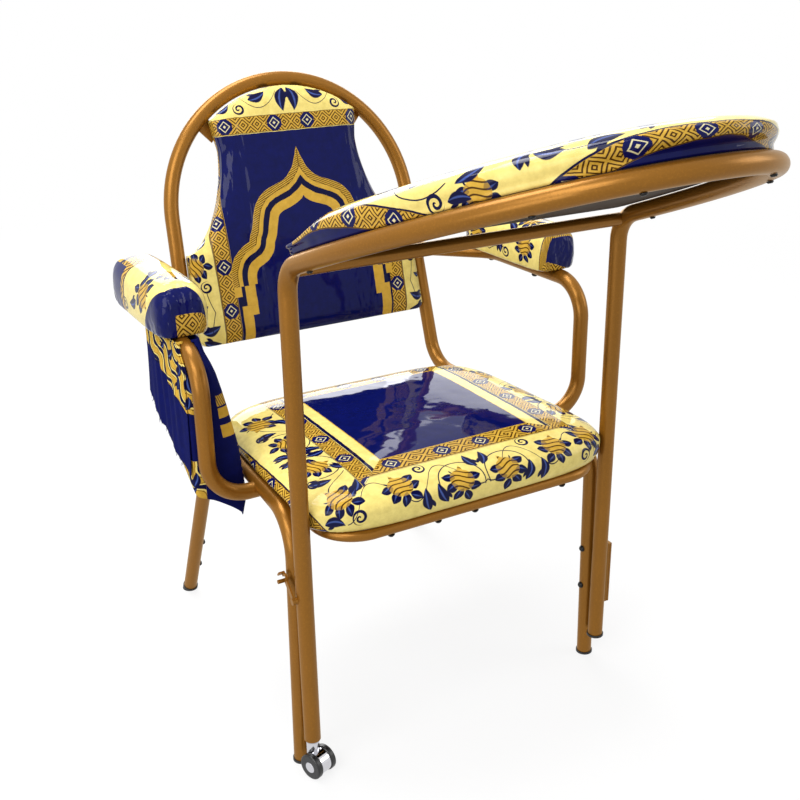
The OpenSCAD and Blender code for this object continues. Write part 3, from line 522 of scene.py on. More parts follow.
class PaintSettings(bpy.types.PropertyGroup):
    """Gold paint on the tubes."""

    colour: FloatVectorProperty(name="Paint", description="Colour of the paint", default=(0.55, 0.36, 0.105), **COLOUR)
    roughness: FloatProperty(name="Roughness", description="How dull the paint is", default=0.3, **SHARE)
    metal: FloatProperty(name="Metal", description="How metallic the paint is", default=0.45, **SHARE)


class StageSettings(bpy.types.PropertyGroup):
    """Lamps and floor."""

    key: FloatProperty(name="Key lamp", description="Power of the large lamp", default=62.0, **POWER)
    fill: FloatProperty(name="Fill lamp", description="Power of the soft lamp", default=20.0, **POWER)
    window: FloatProperty(name="Windows", description="Power of the windows behind", default=24.0, **POWER)
    sky: FloatProperty(name="Sky", description="Strength of the even light around", default=0.48, min=0, max=5)


# ---- paint and hardware

def gold_paint():
    s = bpy.context.scene.chair_paint
    m, tree, body = shader("Gold paint")
    at = object_place(tree)
    base = linear(s.colour)
    grain, cloud = noise(tree, at, 420.0, 3.0, 0.7), noise(tree, at, 14.0, 3.0, 0.6)
    top = ramp(cloud.above(0.5, 0.6) * 0.35, base, [c * 0.72 for c in base])
    top = ramp(grain.above(0.58, 0.12) * 0.3, top, [min(1, c * 1.5) for c in base])
    fill_in(body, Base_Color=top, Metallic=s.metal, Roughness=s.roughness, Specular_IOR_Level=0.6,
            Specular_Tint=(1.0, 0.82, 0.5, 1), Normal=bump(noise(tree, at, 160.0), 0.12, 0.0004))
    return m


def plain(name, colour, rough, metal=0.0, grain=0.0, coat=0.0):
    m, tree, body = shader(name)
    base = linear(colour)
    spots = noise(tree, object_place(tree), 90.0, 4.0, 0.65)
    fill_in(body, Base_Color=ramp(spots.above(0.5, 0.6) * 0.4, base, [c * 0.7 for c in base]),
            Metallic=metal, Roughness=rough, Coat_Weight=coat)
    if grain:
        fill_in(body, Normal=bump(spots, grain, 0.0004))
    return m


def plywood():
    m, tree, body = shader("Plywood")
    base = linear((0.24, 0.18, 0.12))
    streak = noise(tree, object_place(tree), 30.0, 5.0, 0.65, stretch=(0.25, 3.0, 3.0))
    fill_in(body, Base_Color=ramp(streak.above(0.5, 0.4), base, [c * 0.55 for c in base]),
            Roughness=0.75, Normal=bump(streak, 0.3, 0.0006))
    return m


class CHAIR_OT_paint(bpy.types.Operator):
    """Paints the tubes and finishes the boards, fasteners, caps and castor"""

    bl_idname = "chair.paint"
    bl_label = "Paint and hardware"

    def execute(self, context):
        made = {
            "gold_paint": gold_paint(),
            "plywood": plywood(),
            "black_plastic": plain("Black plastic", (0.07, 0.07, 0.07), 0.5, grain=0.2),
            "black_steel": plain("Black steel", (0.09, 0.085, 0.08), 0.45, metal=0.5, grain=0.2),
            "plain_steel": plain("Plain steel", (0.72, 0.72, 0.74), 0.3, metal=1.0, grain=0.1),
            "chrome_plate": plain("Chrome", (0.86, 0.86, 0.88), 0.08, metal=1.0),
            "wheel_rubber": plain("Wheel tread", (0.045, 0.045, 0.048), 0.42, grain=0.15, coat=0.2),
        }
        for part in frame["record"]["subparts"]:
            if part["material_slot"] in made:
                for s in frame["nodes"][part["node"]].material_slots:
                    s.material = made[part["material_slot"]]
        return {"FINISHED"}


# ---- seat

def seat_print(p, x, y):
    right, front = x - 0.0155, (y - 0.111) * -1.0
    # How far outside the plain field, sideways and lengthways
    g, b = abs(right) - 0.131, abs(front) - 0.142
    t = g.high(b)
    sides = g.above(b)
    ends = 1 - sides
    out = t.above(0.0)
    # Front and rear borders, mirrored about the middle
    q = abs(x - 0.011)
    p.line(b - 0.078 - (q * 58 + 1.0).sin() * 0.026, ends)
    p.line(radius(q - 0.04, b - 0.094) - 0.037, b.below(0.105) * ends)
    p.scatter(lotus, q, b, ends, (40, 94, 30, 172))
    p.scatter(leaf, q, b, ends, (13, 61, 32, 196), (77, 104, 34, 200), (103, 107, 36, 186))
    p.scatter(curl, q, b, ends, (91.5, 49, 11, 200))
    # Side borders, mirrored about their own middle
    h = abs(y - 0.049)
    p.line(g - 0.08 - (h * 58 + 0.6).sin() * 0.024, sides * g.above(0.06))
    p.line(radius(h - 0.049, g - 0.091) - 0.036, g.below(0.1) * sides)
    p.scatter(lotus, h, g, sides, (49, 91, 29, 170))
    p.scatter(leaf, h, g, sides, (10, 68, 34, 170), (12, 112, 34, 150), (96, 104, 36, 190))
    p.scatter(curl, h, g, sides, (92, 112, 11, 160))
    p.scatter(leaf, h, g, sides, (128, 62, 34, 120), (66, 60, 30, 215))
    # Corner flowers
    ax = abs(x)
    p.scatter(lotus, q, b, out, (133, 77, 30, 200))
    p.scatter(lotus, ax, h, out, (211, 144, 30, 215))
    p.scatter(curl, ax, b, out, (198, 101, 12, 0))
    p.scatter(leaf, ax, b, out, (236, 90, 36, 60))
    # Lower band on the two sides
    p.hatch_band(y - 0.0285, ax - 0.2745, 0.0145, (ax - 0.259).above(0.0), 0.0765)
    p.line(ax - 0.2595)
    # Bands round the field
    for past, tone in ((0.0007, "ink"), (0.0, "yellow")):
        p.lay(t.below(0.038 + past) * ends + t.below(0.056 + past) * sides, tone)
    p.hatch_band(y, g - 0.0415, 0.0145, g.between(0.0275, 0.0555) * sides, 0.0797)
    p.lay(g.between(0.0205, 0.0265) * sides * t.below(0.03), "ink")
    p.hatch_band(x - 0.0145, b - 0.018, 0.0185, t.between(0.0, 0.0372) * ends)
    p.scatter(medallion, abs(x - 0.0145), b, ends, (34, 18, 14, 0), (121, 18, 14, 0))
    p.lay(t.below(0.0), "navy")
    p.line(t, 1, 0.0008, "gold")


TUBE_R = 0.0125
RAIL_TOP = 0.4205
# Half the distance between the rails at the front, how much less it is at the rear, and how far back that is
RAIL_FRONT, RAIL_DRAWN_IN, RAIL_LENGTH = 0.266, 0.026, 0.444
SEAT_HALF, SEAT_TAPER, SEAT_ROUND = 0.2728, 0.911, 0.372


def rail_inside(y):
    """Half the clear width between the side rails at depth y."""
    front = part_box("side_frame_left")[0].y + TUBE_R
    return RAIL_FRONT - RAIL_DRAWN_IN * (y - front) / RAIL_LENGTH - TUBE_R


def seat_point(a, in_x, in_y, box):
    """Outline of the seat at angles a, drawn in from its widest."""
    lo, hi = box
    y = (lo.y + hi.y) / 2 + ((hi.y - lo.y) / 2 - in_y) * squircle(np.sin(a), SEAT_ROUND)
    half = SEAT_HALF * (1 - (1 - SEAT_TAPER) * (y - lo.y) / (hi.y - lo.y)) - in_x
    return half * squircle(np.cos(a), SEAT_ROUND), y


class CHAIR_OT_seat(bpy.types.Operator):
    """Makes the seat cushion under its printed cover"""

    bl_idname = "chair.seat"
    bl_label = "Seat cushion"

    def execute(self, context):
        lo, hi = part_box("seat_cushion")
        mid = (lo.y + hi.y) / 2
        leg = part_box("side_frame_left")[0].y
        a = even_angles(SEAT_HALF, (hi.y - lo.y) / 2, SEAT_ROUND, 260)
        # In from the sides, in from the ends and up: round the board's edge, then over the crown
        low = [(0.014, 0.0115, 0.0), (0.0075, 0.006, 0.0004), (0.003, 0.0022, 0.005), (0.0008, 0.0004, 0.013),
               (0.0, 0.0, 0.0215)]
        reach = 0.025
        up = RAIL_TOP + 0.0012 - lo.z
        tall = hi.z - lo.z - up
        high = [(0.01, 0.22), (0.14, 0.37), (0.42, 0.545), (1.0, 0.725), (2.0, 0.86), (4.0, 0.955), (6.4, 1.0),
                (7.6, 1.0)]
        rows = through(low + [(i * reach, i * reach, up + tall * z) for i, z in high], 84)
        pucker = ripples(a, 4, 9, 14, 60)
        dent = ripples(a, 9, 6, 2, 7)
        rings = []
        for in_x, in_y, z in rows:
            x, y = seat_point(a, in_x, in_y, (lo, hi))
            held = np.clip((lo.z + z - RAIL_TOP - 0.001) / 0.009, 0, 1)
            room = np.where(y > leg, rail_inside(y) - 0.0008, SEAT_HALF)
            x = np.sign(x) * np.minimum(np.abs(x), room + (SEAT_HALF - room) * held)
            tuck = exp(-((z - 0.002) / 0.007) ** 2)
            slack = exp(-((z - 0.05) / 0.014) ** 2)
            move = -0.0016 * tuck * (0.5 + 0.5 * pucker) - 0.001 * slack * (0.5 + 0.5 * dent)
            d = np.stack([x, y - mid], 1)
            d /= np.linalg.norm(d, axis=1)[:, None] + 1e-9
            rings.append(level(np.stack([x, y], 1) + d * np.reshape(move, (-1, 1)), lo.z + z))
        o = skin("seat_padding", rings, unrolled(rings), printed("Seat cover", seat_print))
        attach(o, "chair")
        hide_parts("seat_cushion")
        return {"FINISHED"}


# ---- back

# From the photo's own place for the chair to the frame's
SHIFT_Y = 0.231422
LEAN = radians(14.8)
BACK_FOOT = Vector((0.0, 0.1625 + SHIFT_Y, 0.408))


def tipped(x, y, z, foot, turn):
    """Points given across, rearwards and up from a foot, tipped back about it."""
    c, s = cos(turn), sin(turn)
    return np.stack([x, foot.y + y * c + z * s, foot.z - y * s + z * c], -1)


def back_outline(count):
    """The keyhole outline of the back, inside its hoop."""
    rise, top_half, rail_half = 0.554, 0.221, 0.24
    flare, waist_h, low = rise - 0.284, rise - 0.114, 0.112
    waist, shoulder, corner, fullness = 0.129, 0.137, 0.014, 1.7
    splay = atan((rail_half - top_half) / rise)
    arch_r = top_half / tan((pi / 2 - splay) / 2)
    inner = TUBE_R + 0.002

    def hoop_in(h):
        return rail_half + (top_half - rail_half) * h / rise - inner

    side = hoop_in(flare)
    pts = [[0.0, low]] + arc((hoop_in(low) - corner, low + corner), corner, -pi / 2, 0, 8)
    for u in np.linspace(0, 1, 25):
        k = 1 - u * u * (3 - 2 * u)
        pts.append([side - (side - waist) * (1 - k**fullness) ** (1 / fullness), waist_h - (waist_h - flare) * k])
    r = arch_r - inner
    pts += arc((0, rise - arch_r), r, acos(shoulder / r), pi / 2, 24)
    return mirrored(evenly(pts, count // 2 + 1))


def back_print(p, x, y):
    """x runs across and y up the lean from the rails."""
    x = x - 0.0025
    ax = abs(x)
    flare = ax.above(0.178)
    p.scatter(lotus, ax, y, flare, (213, 249, 26, 250))
    p.scatter(curl, ax, y, flare, (201, 213, 10.5, 20))
    p.scatter(leaf, ax, y, flare, (203, 137, 34, 75), (205, 113, 34, 105), (196, 292, 30, 20), (212, 176, 20, 70))
    p.line(ax - 0.193 - (abs(y - 0.168) * 33).sin() * 0.01, y.between(0.13, 0.205), 0.0007)
    p.line(ax - 0.1798, 1, 0.0008)
    p.hatch_band(y, ax - 0.1645, 0.0145, ax.between(0.1495, 0.1795), 0.0755, 0.0155)
    p.lay(ax.below(0.1495), "navy")
    arch(p, x - 0.002, y)
    # Top: gold band, then yellow with hanging leaves
    top, band = y.above(0.489), y.between(0.4615, 0.4895)
    p.lay(y.above(0.4605), "yellow")
    p.scatter(leaf, ax, y, top, (12.5, 516, 44, 188), (54, 521, 36, 68), (30, 547, 26, 60), (117, 506, 28, 60))
    p.scatter(curl, ax, y, top, (91.5, 503.5, 10.5, 0))
    p.line(y - 0.503 - abs((ax - 0.054) * 26).op("POWER", 2.0) * 0.032, top * ax.between(0.018, 0.086), 0.0007)
    p.hatch_band(x, y - 0.4755, 0.0145, band)
    p.scatter(medallion, ax, y, band, (31.5, 475.5, 13.7, 0), (122, 475.5, 13.7, 0))


# Half width and height of the pointed arch in millimetres, from its feet to its tip
ARCH = [(157, 100), (157, 222), (154.5, 238), (146, 256), (131, 271), (112.5, 279.5), (112.5, 286), (105, 300),
        (100.5, 318), (93, 340), (78, 358), (58, 368.5), (38, 374.5), (24, 384), (14, 397), (6, 415), (0, 434.5)]
ARCH_LOW, ARCH_TALL, ARCH_WIDE = 0.1, 0.34, 0.16


def arch_curve(share, inset):
    """The arch's half width against a share of its height, drawn in all round by an inset."""
    line = evenly(np.array(ARCH) / 1000, 500)
    both = np.vstack([line, line * [-1, 1]])
    wide = np.linspace(0, ARCH_WIDE, 321)
    node = share.tree.nodes.new("ShaderNodeFloatCurve")
    pts = node.mapping.curves[0].points
    for i, k in enumerate(np.linspace(0, 1, 60)):
        h = ARCH_LOW + ARCH_TALL * k
        kept = wide < np.interp(h, line[:, 1], line[:, 0])
        if inset:
            kept &= np.hypot(wide[:, None] - both[:, 0], h - both[:, 1]).min(1) > inset
        spot = k, wide[kept].max(initial=0.0) / ARCH_WIDE
        if i > 1:
            pts.new(*spot)
        else:
            pts[i].location = spot
    for pt in pts:
        pt.handle_type = "VECTOR"
    node.mapping.update()
    fill_in(node, Value=share)
    return Val(share.tree, node.outputs[0]) * ARCH_WIDE


def arch(p, x, h):
    """The pointed arch: hatched rim, gold, dark, gold, and a plain inside, on stepped feet."""
    ax = abs(x)
    edges = [arch_curve((h - ARCH_LOW) / ARCH_TALL, inset) for inset in (0.0, 0.0115, 0.0195, 0.0295, 0.046)]
    rim, outer, dark, inner, field = [ax.below(e) * e.above(0.0008) for e in edges]
    feet = h.below(0.205)
    head = 1 - feet
    p.lay(rim * head, "gold")
    tick = ((h + ax * 0.45) / 0.0034).fract().below(0.42, 0.2)
    p.lay(tick * rim * head * ax.below(edges[0] - 0.001), "brown")
    p.lay(outer * head, "gold")
    p.line(ax - edges[1], head * rim, 0.0006, "brown")
    p.lay(dark * head, "dark")
    # Each strip's foot steps outwards as the strip outside it ends
    p.lay(ax.below(0.1425) * feet, "dark")
    p.lay(ax.between(0.1425, 0.1555) * h.between(0.1875, 0.205), "gold")
    p.lay(ax.between(0.136, 0.1495) * h.below(0.1875), "dark")
    p.lay(inner * h.above(0.171), "gold")
    p.lay(ax.below(0.136) * h.between(0.171, 0.205), "gold")
    p.lay(ax.below(0.1458) * h.below(0.171), "gold")
    p.lay(field * h.above(0.205), "navy")
    p.lay(ax.below(0.1165) * h.below(0.2062), "navy")
    p.lay(ax.below(0.1275) * h.below(0.154), "navy")


def crowned(edge, low, high, count, ease):
    """Rings from an outline in to a spine between two heights, and how far in each ring is."""
    spine = np.stack([np.zeros(len(edge)), np.clip(edge[:, 1], low, high)], 1)
    for k in np.linspace(0, 1, count)[1:] ** ease:
        q = edge + (spine - edge) * k
        yield k, q, from_edge(q, edge)


class CHAIR_OT_back(bpy.types.Operator):
    """Makes the back cushion under its printed cover"""

    bl_idname = "chair.back"
    bl_label = "Back cushion"

    def execute(self, context):
        depth, half_board = 0.026, 0.009 / 2
        edge = back_outline(260)
        way = outward(edge)
        front, rear = half_board + 0.0003, -half_board - 0.0006
        # Out from the edge and forward: from the board's rear face round to the front, then the crown
        wall = [(-0.014, rear), (-0.003, rear), (0.0, 0.001 - half_board), (0.0, 0.0), (0.0, front + 0.25 * depth),
                (0.0, front + 0.45 * depth)]
        rings = [level(edge + way * out, z) for out, z in through(wall, 14)]
        for _, q, d in crowned(edge, low=0.21, high=0.47, count=44, ease=1.25):
            lift = 0.45 + 0.55 * (1 - np.exp(-d / 0.011)) * (0.9 + 0.1 * np.clip(d / 0.1, 0, 1))
            rings.append(level(q, front + depth * np.minimum(lift, 0.99)))
        places = unrolled(rings)
        rings = [tipped(r[:, 0], -r[:, 2], r[:, 1], BACK_FOOT, LEAN) for r in rings]
        o = skin("back_padding", rings, places, printed("Back cover", back_print, ripple=0.012), high_cap=False)
        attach(o, "chair")
        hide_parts("back_cushion")
        return {"FINISHED"}


# ---- table

TILT = radians(19.85)
TABLE_FOOT = Vector((0.0, -0.3135 + SHIFT_Y, 0.778))
TABLE_HALF = 0.268


def table_outline(grow, count):
    """The table's outline, let out a little: straight at the sitter and round at the nose."""
    length, lead, nose, corner = 0.482, 0.045, 0.185, 0.022
    far = length - lead - nose
    side = (TABLE_HALF**2 + far**2 - nose**2) / (2 * (TABLE_HALF - nose))
    turn = atan2(far, side - TABLE_HALF)
    pts = [[0.0, grow]] + arc((TABLE_HALF + grow - corner, grow - corner), corner, pi / 2, 0, 8)
    pts += arc((TABLE_HALF - side, -lead), side + grow, 0, -turn, 40)
    pts += arc((0, nose - length), nose + grow, -turn, -pi / 2, 40)[1:]
    return mirrored(evenly(pts, count // 2 + 1))[::-1]


def table_print(p, x, y):
    """x runs across, and y falls from the sitter's edge to the nose."""
    q, v = abs(x), y * -1.0
    p.scatter(lotus, q, v, 1, (186, 266, 36, 60), (214, 352, 26, 120), (96, 392, 36, 200), (90, 300, 34, 20),
              (172, 150, 36, 140), (75, 190, 36, 250), (175, 50, 34, 90), (70, 80, 34, 10))
    p.scatter(leaf, q, v, 1, (194, 336, 40, 244), (222, 330, 30, 20), (160, 378, 38, 110), (150, 404, 36, 200),
              (110, 440, 40, 70), (62, 448, 34, 100), (140, 320, 40, 30), (120, 235, 40, 150), (222, 215, 40, 10),
              (215, 120, 40, 60), (120, 125, 40, 200), (20, 250, 40, 30), (20, 145, 40, 20), (30, 345, 40, 330),
              (122, 45, 36, 120), (230, 30, 36, 170), (20, 40, 36, 90))
    p.scatter(curl, q, v, 1, (236, 303, 12, 0), (130, 190, 12, 90), (45, 405, 12, 40), (60, 20, 12, 0))
    for at_q, at_v, r in ((0.186, 0.266, 0.052), (0.096, 0.392, 0.052), (0.172, 0.15, 0.052), (0.075, 0.19, 0.05)):
        p.line(radius(q - at_q, v - at_v) - r, (q - v).above(at_q - at_v - 0.02), 0.0008)
    # Gold band and plain navy down each side
    p.hatch_band(v - 0.175, q - 0.264, 0.014, q.above(0.25), 0.072)
    p.line(q - 0.2498)
    p.lay(q.above(0.278), "navy")
    p.lay((q - 0.262).op("POWER", 2.0).below(0.0016 - v * v), "navy")
    # The same across the nose, pulled back at its ends by the bend
    far = (abs(x - 0.015) - 0.02).high(0.0)
    down = v - 0.483 + far.op("POWER", 1.4) * 0.7
    band = down / (far * 0.1 + 0.0157) * 0.028 - 0.014
    p.hatch_band(x + 0.0265, band, 0.014, band.above(-0.014), 0.0708)
    p.line(band + 0.014, 1, 0.0013)
    p.lay(band.above(0.014) * abs(x - 0.005).below(0.128), "navy")


class CHAIR_OT_table(bpy.types.Operator):
    """Makes the table's cushion under its printed cover"""

    bl_idname = "chair.table"
    bl_label = "Table cushion"

    def execute(self, context):
        edge = table_outline(0.002, 240)
        way = outward(edge)
        base, thick = TUBE_R + 0.0006 + 0.008, 0.036
        pucker = ripples(np.linspace(0, 2 * pi, len(edge), endpoint=False), 21, 9, 20, 70)

        def full(q):
            """It thins out towards its two corners by the sitter."""
            return 1 - 0.7 * np.exp(-((np.hypot(np.abs(q[:, 0]) - TABLE_HALF, q[:, 1]) / 0.08) ** 3))

        rings, over = [], []
        wall = [(-0.012, -0.0075), (-0.004, -0.007), (-0.0025, 0.0), (-0.0005, 0.006), (0.0, 0.012), (-0.0005, 0.018)]
        for out, z in through(wall, 14):
            out = out - 0.0007 * (1 + pucker) * exp(-((z + 0.001) / 0.006) ** 2)
            rings.append(level(edge + way * np.reshape(out, (-1, 1)), base + max(z, 0) * full(edge) + min(z, 0)))
            over.append(np.clip(z / 0.01, 0, 1))
        for k, q, d in crowned(edge, low=-0.31, high=-0.13, count=48, ease=1.3):
            lift = 0.5 + 0.5 * (1 - np.exp(-d / 0.016)) * (0.88 + 0.12 * np.clip(d / 0.12, 0, 1))
            rings.append(level(q, base + thick * np.minimum(lift, 0.995) * full(q)))
            over.append((1 - k) ** 6)
        places = unrolled(rings)
        # The nose bulges over the tube
        nose = 0.011 * np.clip((-edge[:, 1] - 0.36) / 0.11, 0, 1) ** 2
        for r, share in zip(rings, over):
            r[:, 1] -= nose * share
        rings = [tipped(*r.T, TABLE_FOOT, TILT) for r in rings]
        o = skin("table_padding", rings, places, printed("Table cover", table_print), high_cap=False)
        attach(o, "table")
        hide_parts("table_cushion")
        return {"FINISHED"}


# ---- arms

def arm_cover(p, x, y, right):
    """x runs from the top's middle towards the inner side, y from the pad's middle back."""
    p.scatter(lotus, x, y, 1, (-50, -52, 30, 150), (66, -76, 27, 90), (10, -60, 28, 20), (70, 70, 28, 90),
              (-62, 66, 28, 270), (0, 82, 26, 200))
    p.scatter(leaf, x, y, 1, (38, -35, 34, 30), (-18, -35, 34, 120), (72, -4, 36, 70), (-75, -12, 34, 20),
              (30, -88, 30, 200), (50, 50, 32, 130), (-30, 55, 32, 60), (30, 100, 32, 20))
    p.scatter(curl, x, y, 1, (84, -22, 11, 60), (-84, 30, 11, 0))
    p.line(x - 0.09 + (abs(y - 0.03) * 40).sin() * 0.012, y.between(-0.018, 0.085), 0.0008)
    # A band across the top behind the middle
    if right:
        p.hatch_band(x, y - 0.118, 0.016, y.between(0.103, 0.133), 0.078)
        p.lay(y.above(0.133), "navy")
    else:
        p.hatch_band(x, y - 0.06, 0.026, y.above(0.034))
        p.lay(abs(y - 0.034).below(0.0012) + abs(y - 0.08).below(0.004), "ink")
        p.lay(y.above(0.05) * x.below(-0.03), "navy")
    # Front end: plain navy with a gold corner low down
    if right:
        edge = (x - 0.021).high(0.0) * -0.23 - 0.117
        inner = (x - 0.017).high(0.0) * -0.97 - 0.127
        front = y.below(edge)
        p.lay(front, "gold")
        p.lay(((x * 0.9 + y * 0.6) / 0.0042).fract().below(0.4, 0.2) * front, "brown")
        p.line(y - edge, 1, 0.001)
        p.lay(y.below(inner), "navy")
        low = y.below(x * 0.36 - 0.177)
    else:
        edge = (x + 0.0235).low(0.0) * -0.73 - 0.11 - (x - 0.009).high(0.0) * 0.9
        p.lay(y.below(edge), "navy")
        low = y.below(-0.1505) * x.above(-0.0165)
    p.lay(low, "gold")
    p.put(lozenges, x / 0.03 + 0.2, y / 0.03 + 0.1, low)


ARM_ROUND = 0.36


def arm_pad(right, material):
    side = "right" if right else "left"
    lo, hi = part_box("arm_pad_" + side)
    cx, cy = (lo.x + hi.x) / 2, (lo.y + hi.y) / 2
    w, l, h = hi.x - lo.x, hi.y - lo.y, hi.z - lo.z
    a = even_angles(w, l, ARM_ROUND, 180)
    # Shares of the half width and of the height, from the underside up over the top
    profile = [(0.8, 0.0), (0.9, 0.002), (0.955, 0.035), (0.985, 0.1), (1.0, 0.22), (1.0, 0.45), (0.95, 0.66),
               (0.84, 0.8), (0.66, 0.905), (0.42, 0.97), (0.18, 0.997), (0.03, 1.0)]
    rows = through([(k, z * h / (w / 2)) for k, z in profile], 56)
    pucker = ripples(a, 31 + right, 9, 12, 44)
    wave = ripples(a, 47 + right, 6, 2, 9)
    rings = []
    for k, z in rows:
        z = z * (w / 2)
        tuck = exp(-((z - 0.006) / 0.012) ** 2)
        move = 0.0016 * tuck * (pucker - 1) + 0.0008 * (wave - 1) * exp(-((z / h - 0.5) / 0.3) ** 2)
        x = squircle(np.cos(a), ARM_ROUND) * (k * w / 2 + move)
        y = squircle(np.sin(a), ARM_ROUND) * (l - (1 - k) * w + 2 * move) / 2
        rings.append(level(np.stack([cx + x, cy + y], 1), lo.z + z))
    places = (unrolled(rings) - [cx, cy]) * [-1 if right else 1, 1]
    o = skin("arm_padding_" + side, rings, places, material)
    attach(o, "chair")
    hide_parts("arm_pad_" + side)


class CHAIR_OT_arms(bpy.types.Operator):
    """Makes both arm pads under their printed covers"""

    bl_idname = "chair.arms"
    bl_label = "Arm pads"

    def execute(self, context):
        for right, name in ((False, "Left arm cover"), (True, "Right arm cover")):
            arm_pad(right, printed(name, lambda p, x, y: arm_cover(p, x, y, right), crumple=0.02))
        return {"FINISHED"}


# ---- pocket

def pocket_print(p, x, y):
    """x runs inwards from the front fold on the inner side and outwards below 0, y is the height."""
    depth = x * -1.0
    outside = depth.above(0.0)
    # Outer side: a printed wedge under the pad and a printed foot
    wedge, foot = y.above(depth * 0.411 + 0.53) * outside, y.below(0.462) * outside
    streak = (depth * 150 - y * 150 + (y * 95 + depth * 70).sin() * 1.7).sin()
    for part in (wedge, foot):
        p.lay(part, "yellow")
        p.lay(streak.above(0.6, 0.12) * part, "ink")
        p.lay(streak.below(0.05, 0.25) * part, "gold")
        p.lay(abs(streak + 0.25).below(0.1, 0.1) * part, "brown")
    p.scatter(leaf, depth, y, wedge, (30, 600, 30, 20), (12, 578, 28, 170), (62, 612, 30, 60), (40, 575, 26, 20),
              (95, 617, 26, 60), (14, 552, 22, 10))
    p.line(y - depth * 0.411 - 0.53, outside, 0.0014)
    p.scatter(leaf, depth, y, foot, (14, 430, 28, 20), (36, 448, 28, 160), (22, 412, 22, 60))
    # Inner side: short bars at the front fold
    near = x.between(0.028, 0.07)
    bar = y.between(0.539, 0.556) * near
    p.lay(bar, "gold")
    p.lay(((x + y * 0.3) / 0.0045).fract().below(0.35, 0.2) * bar, "ink")
    p.lay(y.between(0.52, 0.536) * near, "gold")
    p.lay(y.between(0.489, 0.509) * near, "gold")
    p.lay((y / 0.012).fract().below(0.45, 0.1) * x.between(0.046, 0.058) * y.between(0.405, 0.47), "gold")


# Rows round the pocket from its front fold, the inner side first: across, depth and height of the hem in
# millimetres, how far the row follows the inner bulge, how far it leans back under the pad
POCKET = [(-338, 95.5, 398, 0, 1), (-322, 95.5, 390, 0, 1), (-300, 99, 362, 1, 0.9), (-290, 115, 352, 1, 0.5),
          (-292, 165, 385, 1, 0), (-312, 235, 450, 0.5, 0), (-338, 270, 505, 0, 0), (-353.5, 262, 515, 0, 0),
          (-354.5, 200, 470, 0, 0), (-354.5, 140, 440, 0, 0.2), (-353.5, 104, 412, 0, 0.8),
          (-350, 96.5, 404, 0, 1), (-338, 95.5, 398, 0, 1)]
# Heights, and where across the inner side stands there, in millimetres
BULGE = [(352, -279), (375, -273.5), (400, -272.6), (460, -277), (505, -285.8), (530, -290), (560, -296.5),
         (585, -303), (617, -315), (637, -318)]
BULGE_FROM = -0.29
POCKET_TOP = 0.6362
# Lean under the pad: how far back, and over what height from where
LEAN_BACK, LEAN_TALL, LEAN_Z = 0.03, 0.036, 0.6
# The left arm tube: across, its upright part, its bend and its top
ARM_X, ARM_Y, ARM_BEND, ARM_Z = -0.338, 0.081, 0.06, 0.625


def pocket_rows(count):
    """The rows round the pocket, evenly spaced, and the cloth place of each."""
    weigh = np.array([1, 1, 1, 0.03, 0.03])
    rows = through(np.array(POCKET) / [1000, 1000, 1000, 1, 1] * weigh, count) / weigh
    run = lengths(rows[:, :2])
    inner = np.arange(count) < np.argmax(rows[:, 1])
    return rows, np.where(inner, run, run - run[-1])


def pocket_ring(rows, z):
    """The rows' points at height z, one for each row."""
    heights, across = np.array(BULGE).T / 1000
    x = rows[:, 0] + rows[:, 3] * (np.interp(z, heights, across) - BULGE_FROM)
    y = rows[:, 1] + rows[:, 4] * LEAN_BACK * np.clip((z - LEAN_Z) / LEAN_TALL, 0, 1)
    s = np.linspace(0, 1, len(rows))
    slack = np.sin(np.clip((POCKET_TOP - z) / 0.2, 0, 1) * pi)
    return x + 0.0016 * np.sin(s * 44 + z * 30) * slack * np.sin(s * pi) ** 2, y


def off_tube(o, room):
    """Cuts a hole in the cloth where the bent arm tube comes out."""
    bend = ARM_Y + ARM_BEND, ARM_Z - ARM_BEND
    line = [(ARM_Y, z) for z in np.linspace(0.46, bend[1], 12)] + arc(bend, ARM_BEND, pi, pi / 2, 12)
    line = np.array(line + [(y, ARM_Z) for y in np.linspace(bend[0], 0.3, 20)])
    form = bmesh.new()
    form.from_mesh(o.data)
    gone = []
    for f in form.faces:
        c = f.calc_center_median()
        if hypot(np.hypot(line[:, 0] - c.y, line[:, 1] - c.z).min(), c.x - ARM_X) < room:
            gone.append(f)
    bmesh.ops.delete(form, geom=gone, context="FACES")
    form.to_mesh(o.data)
    form.free()


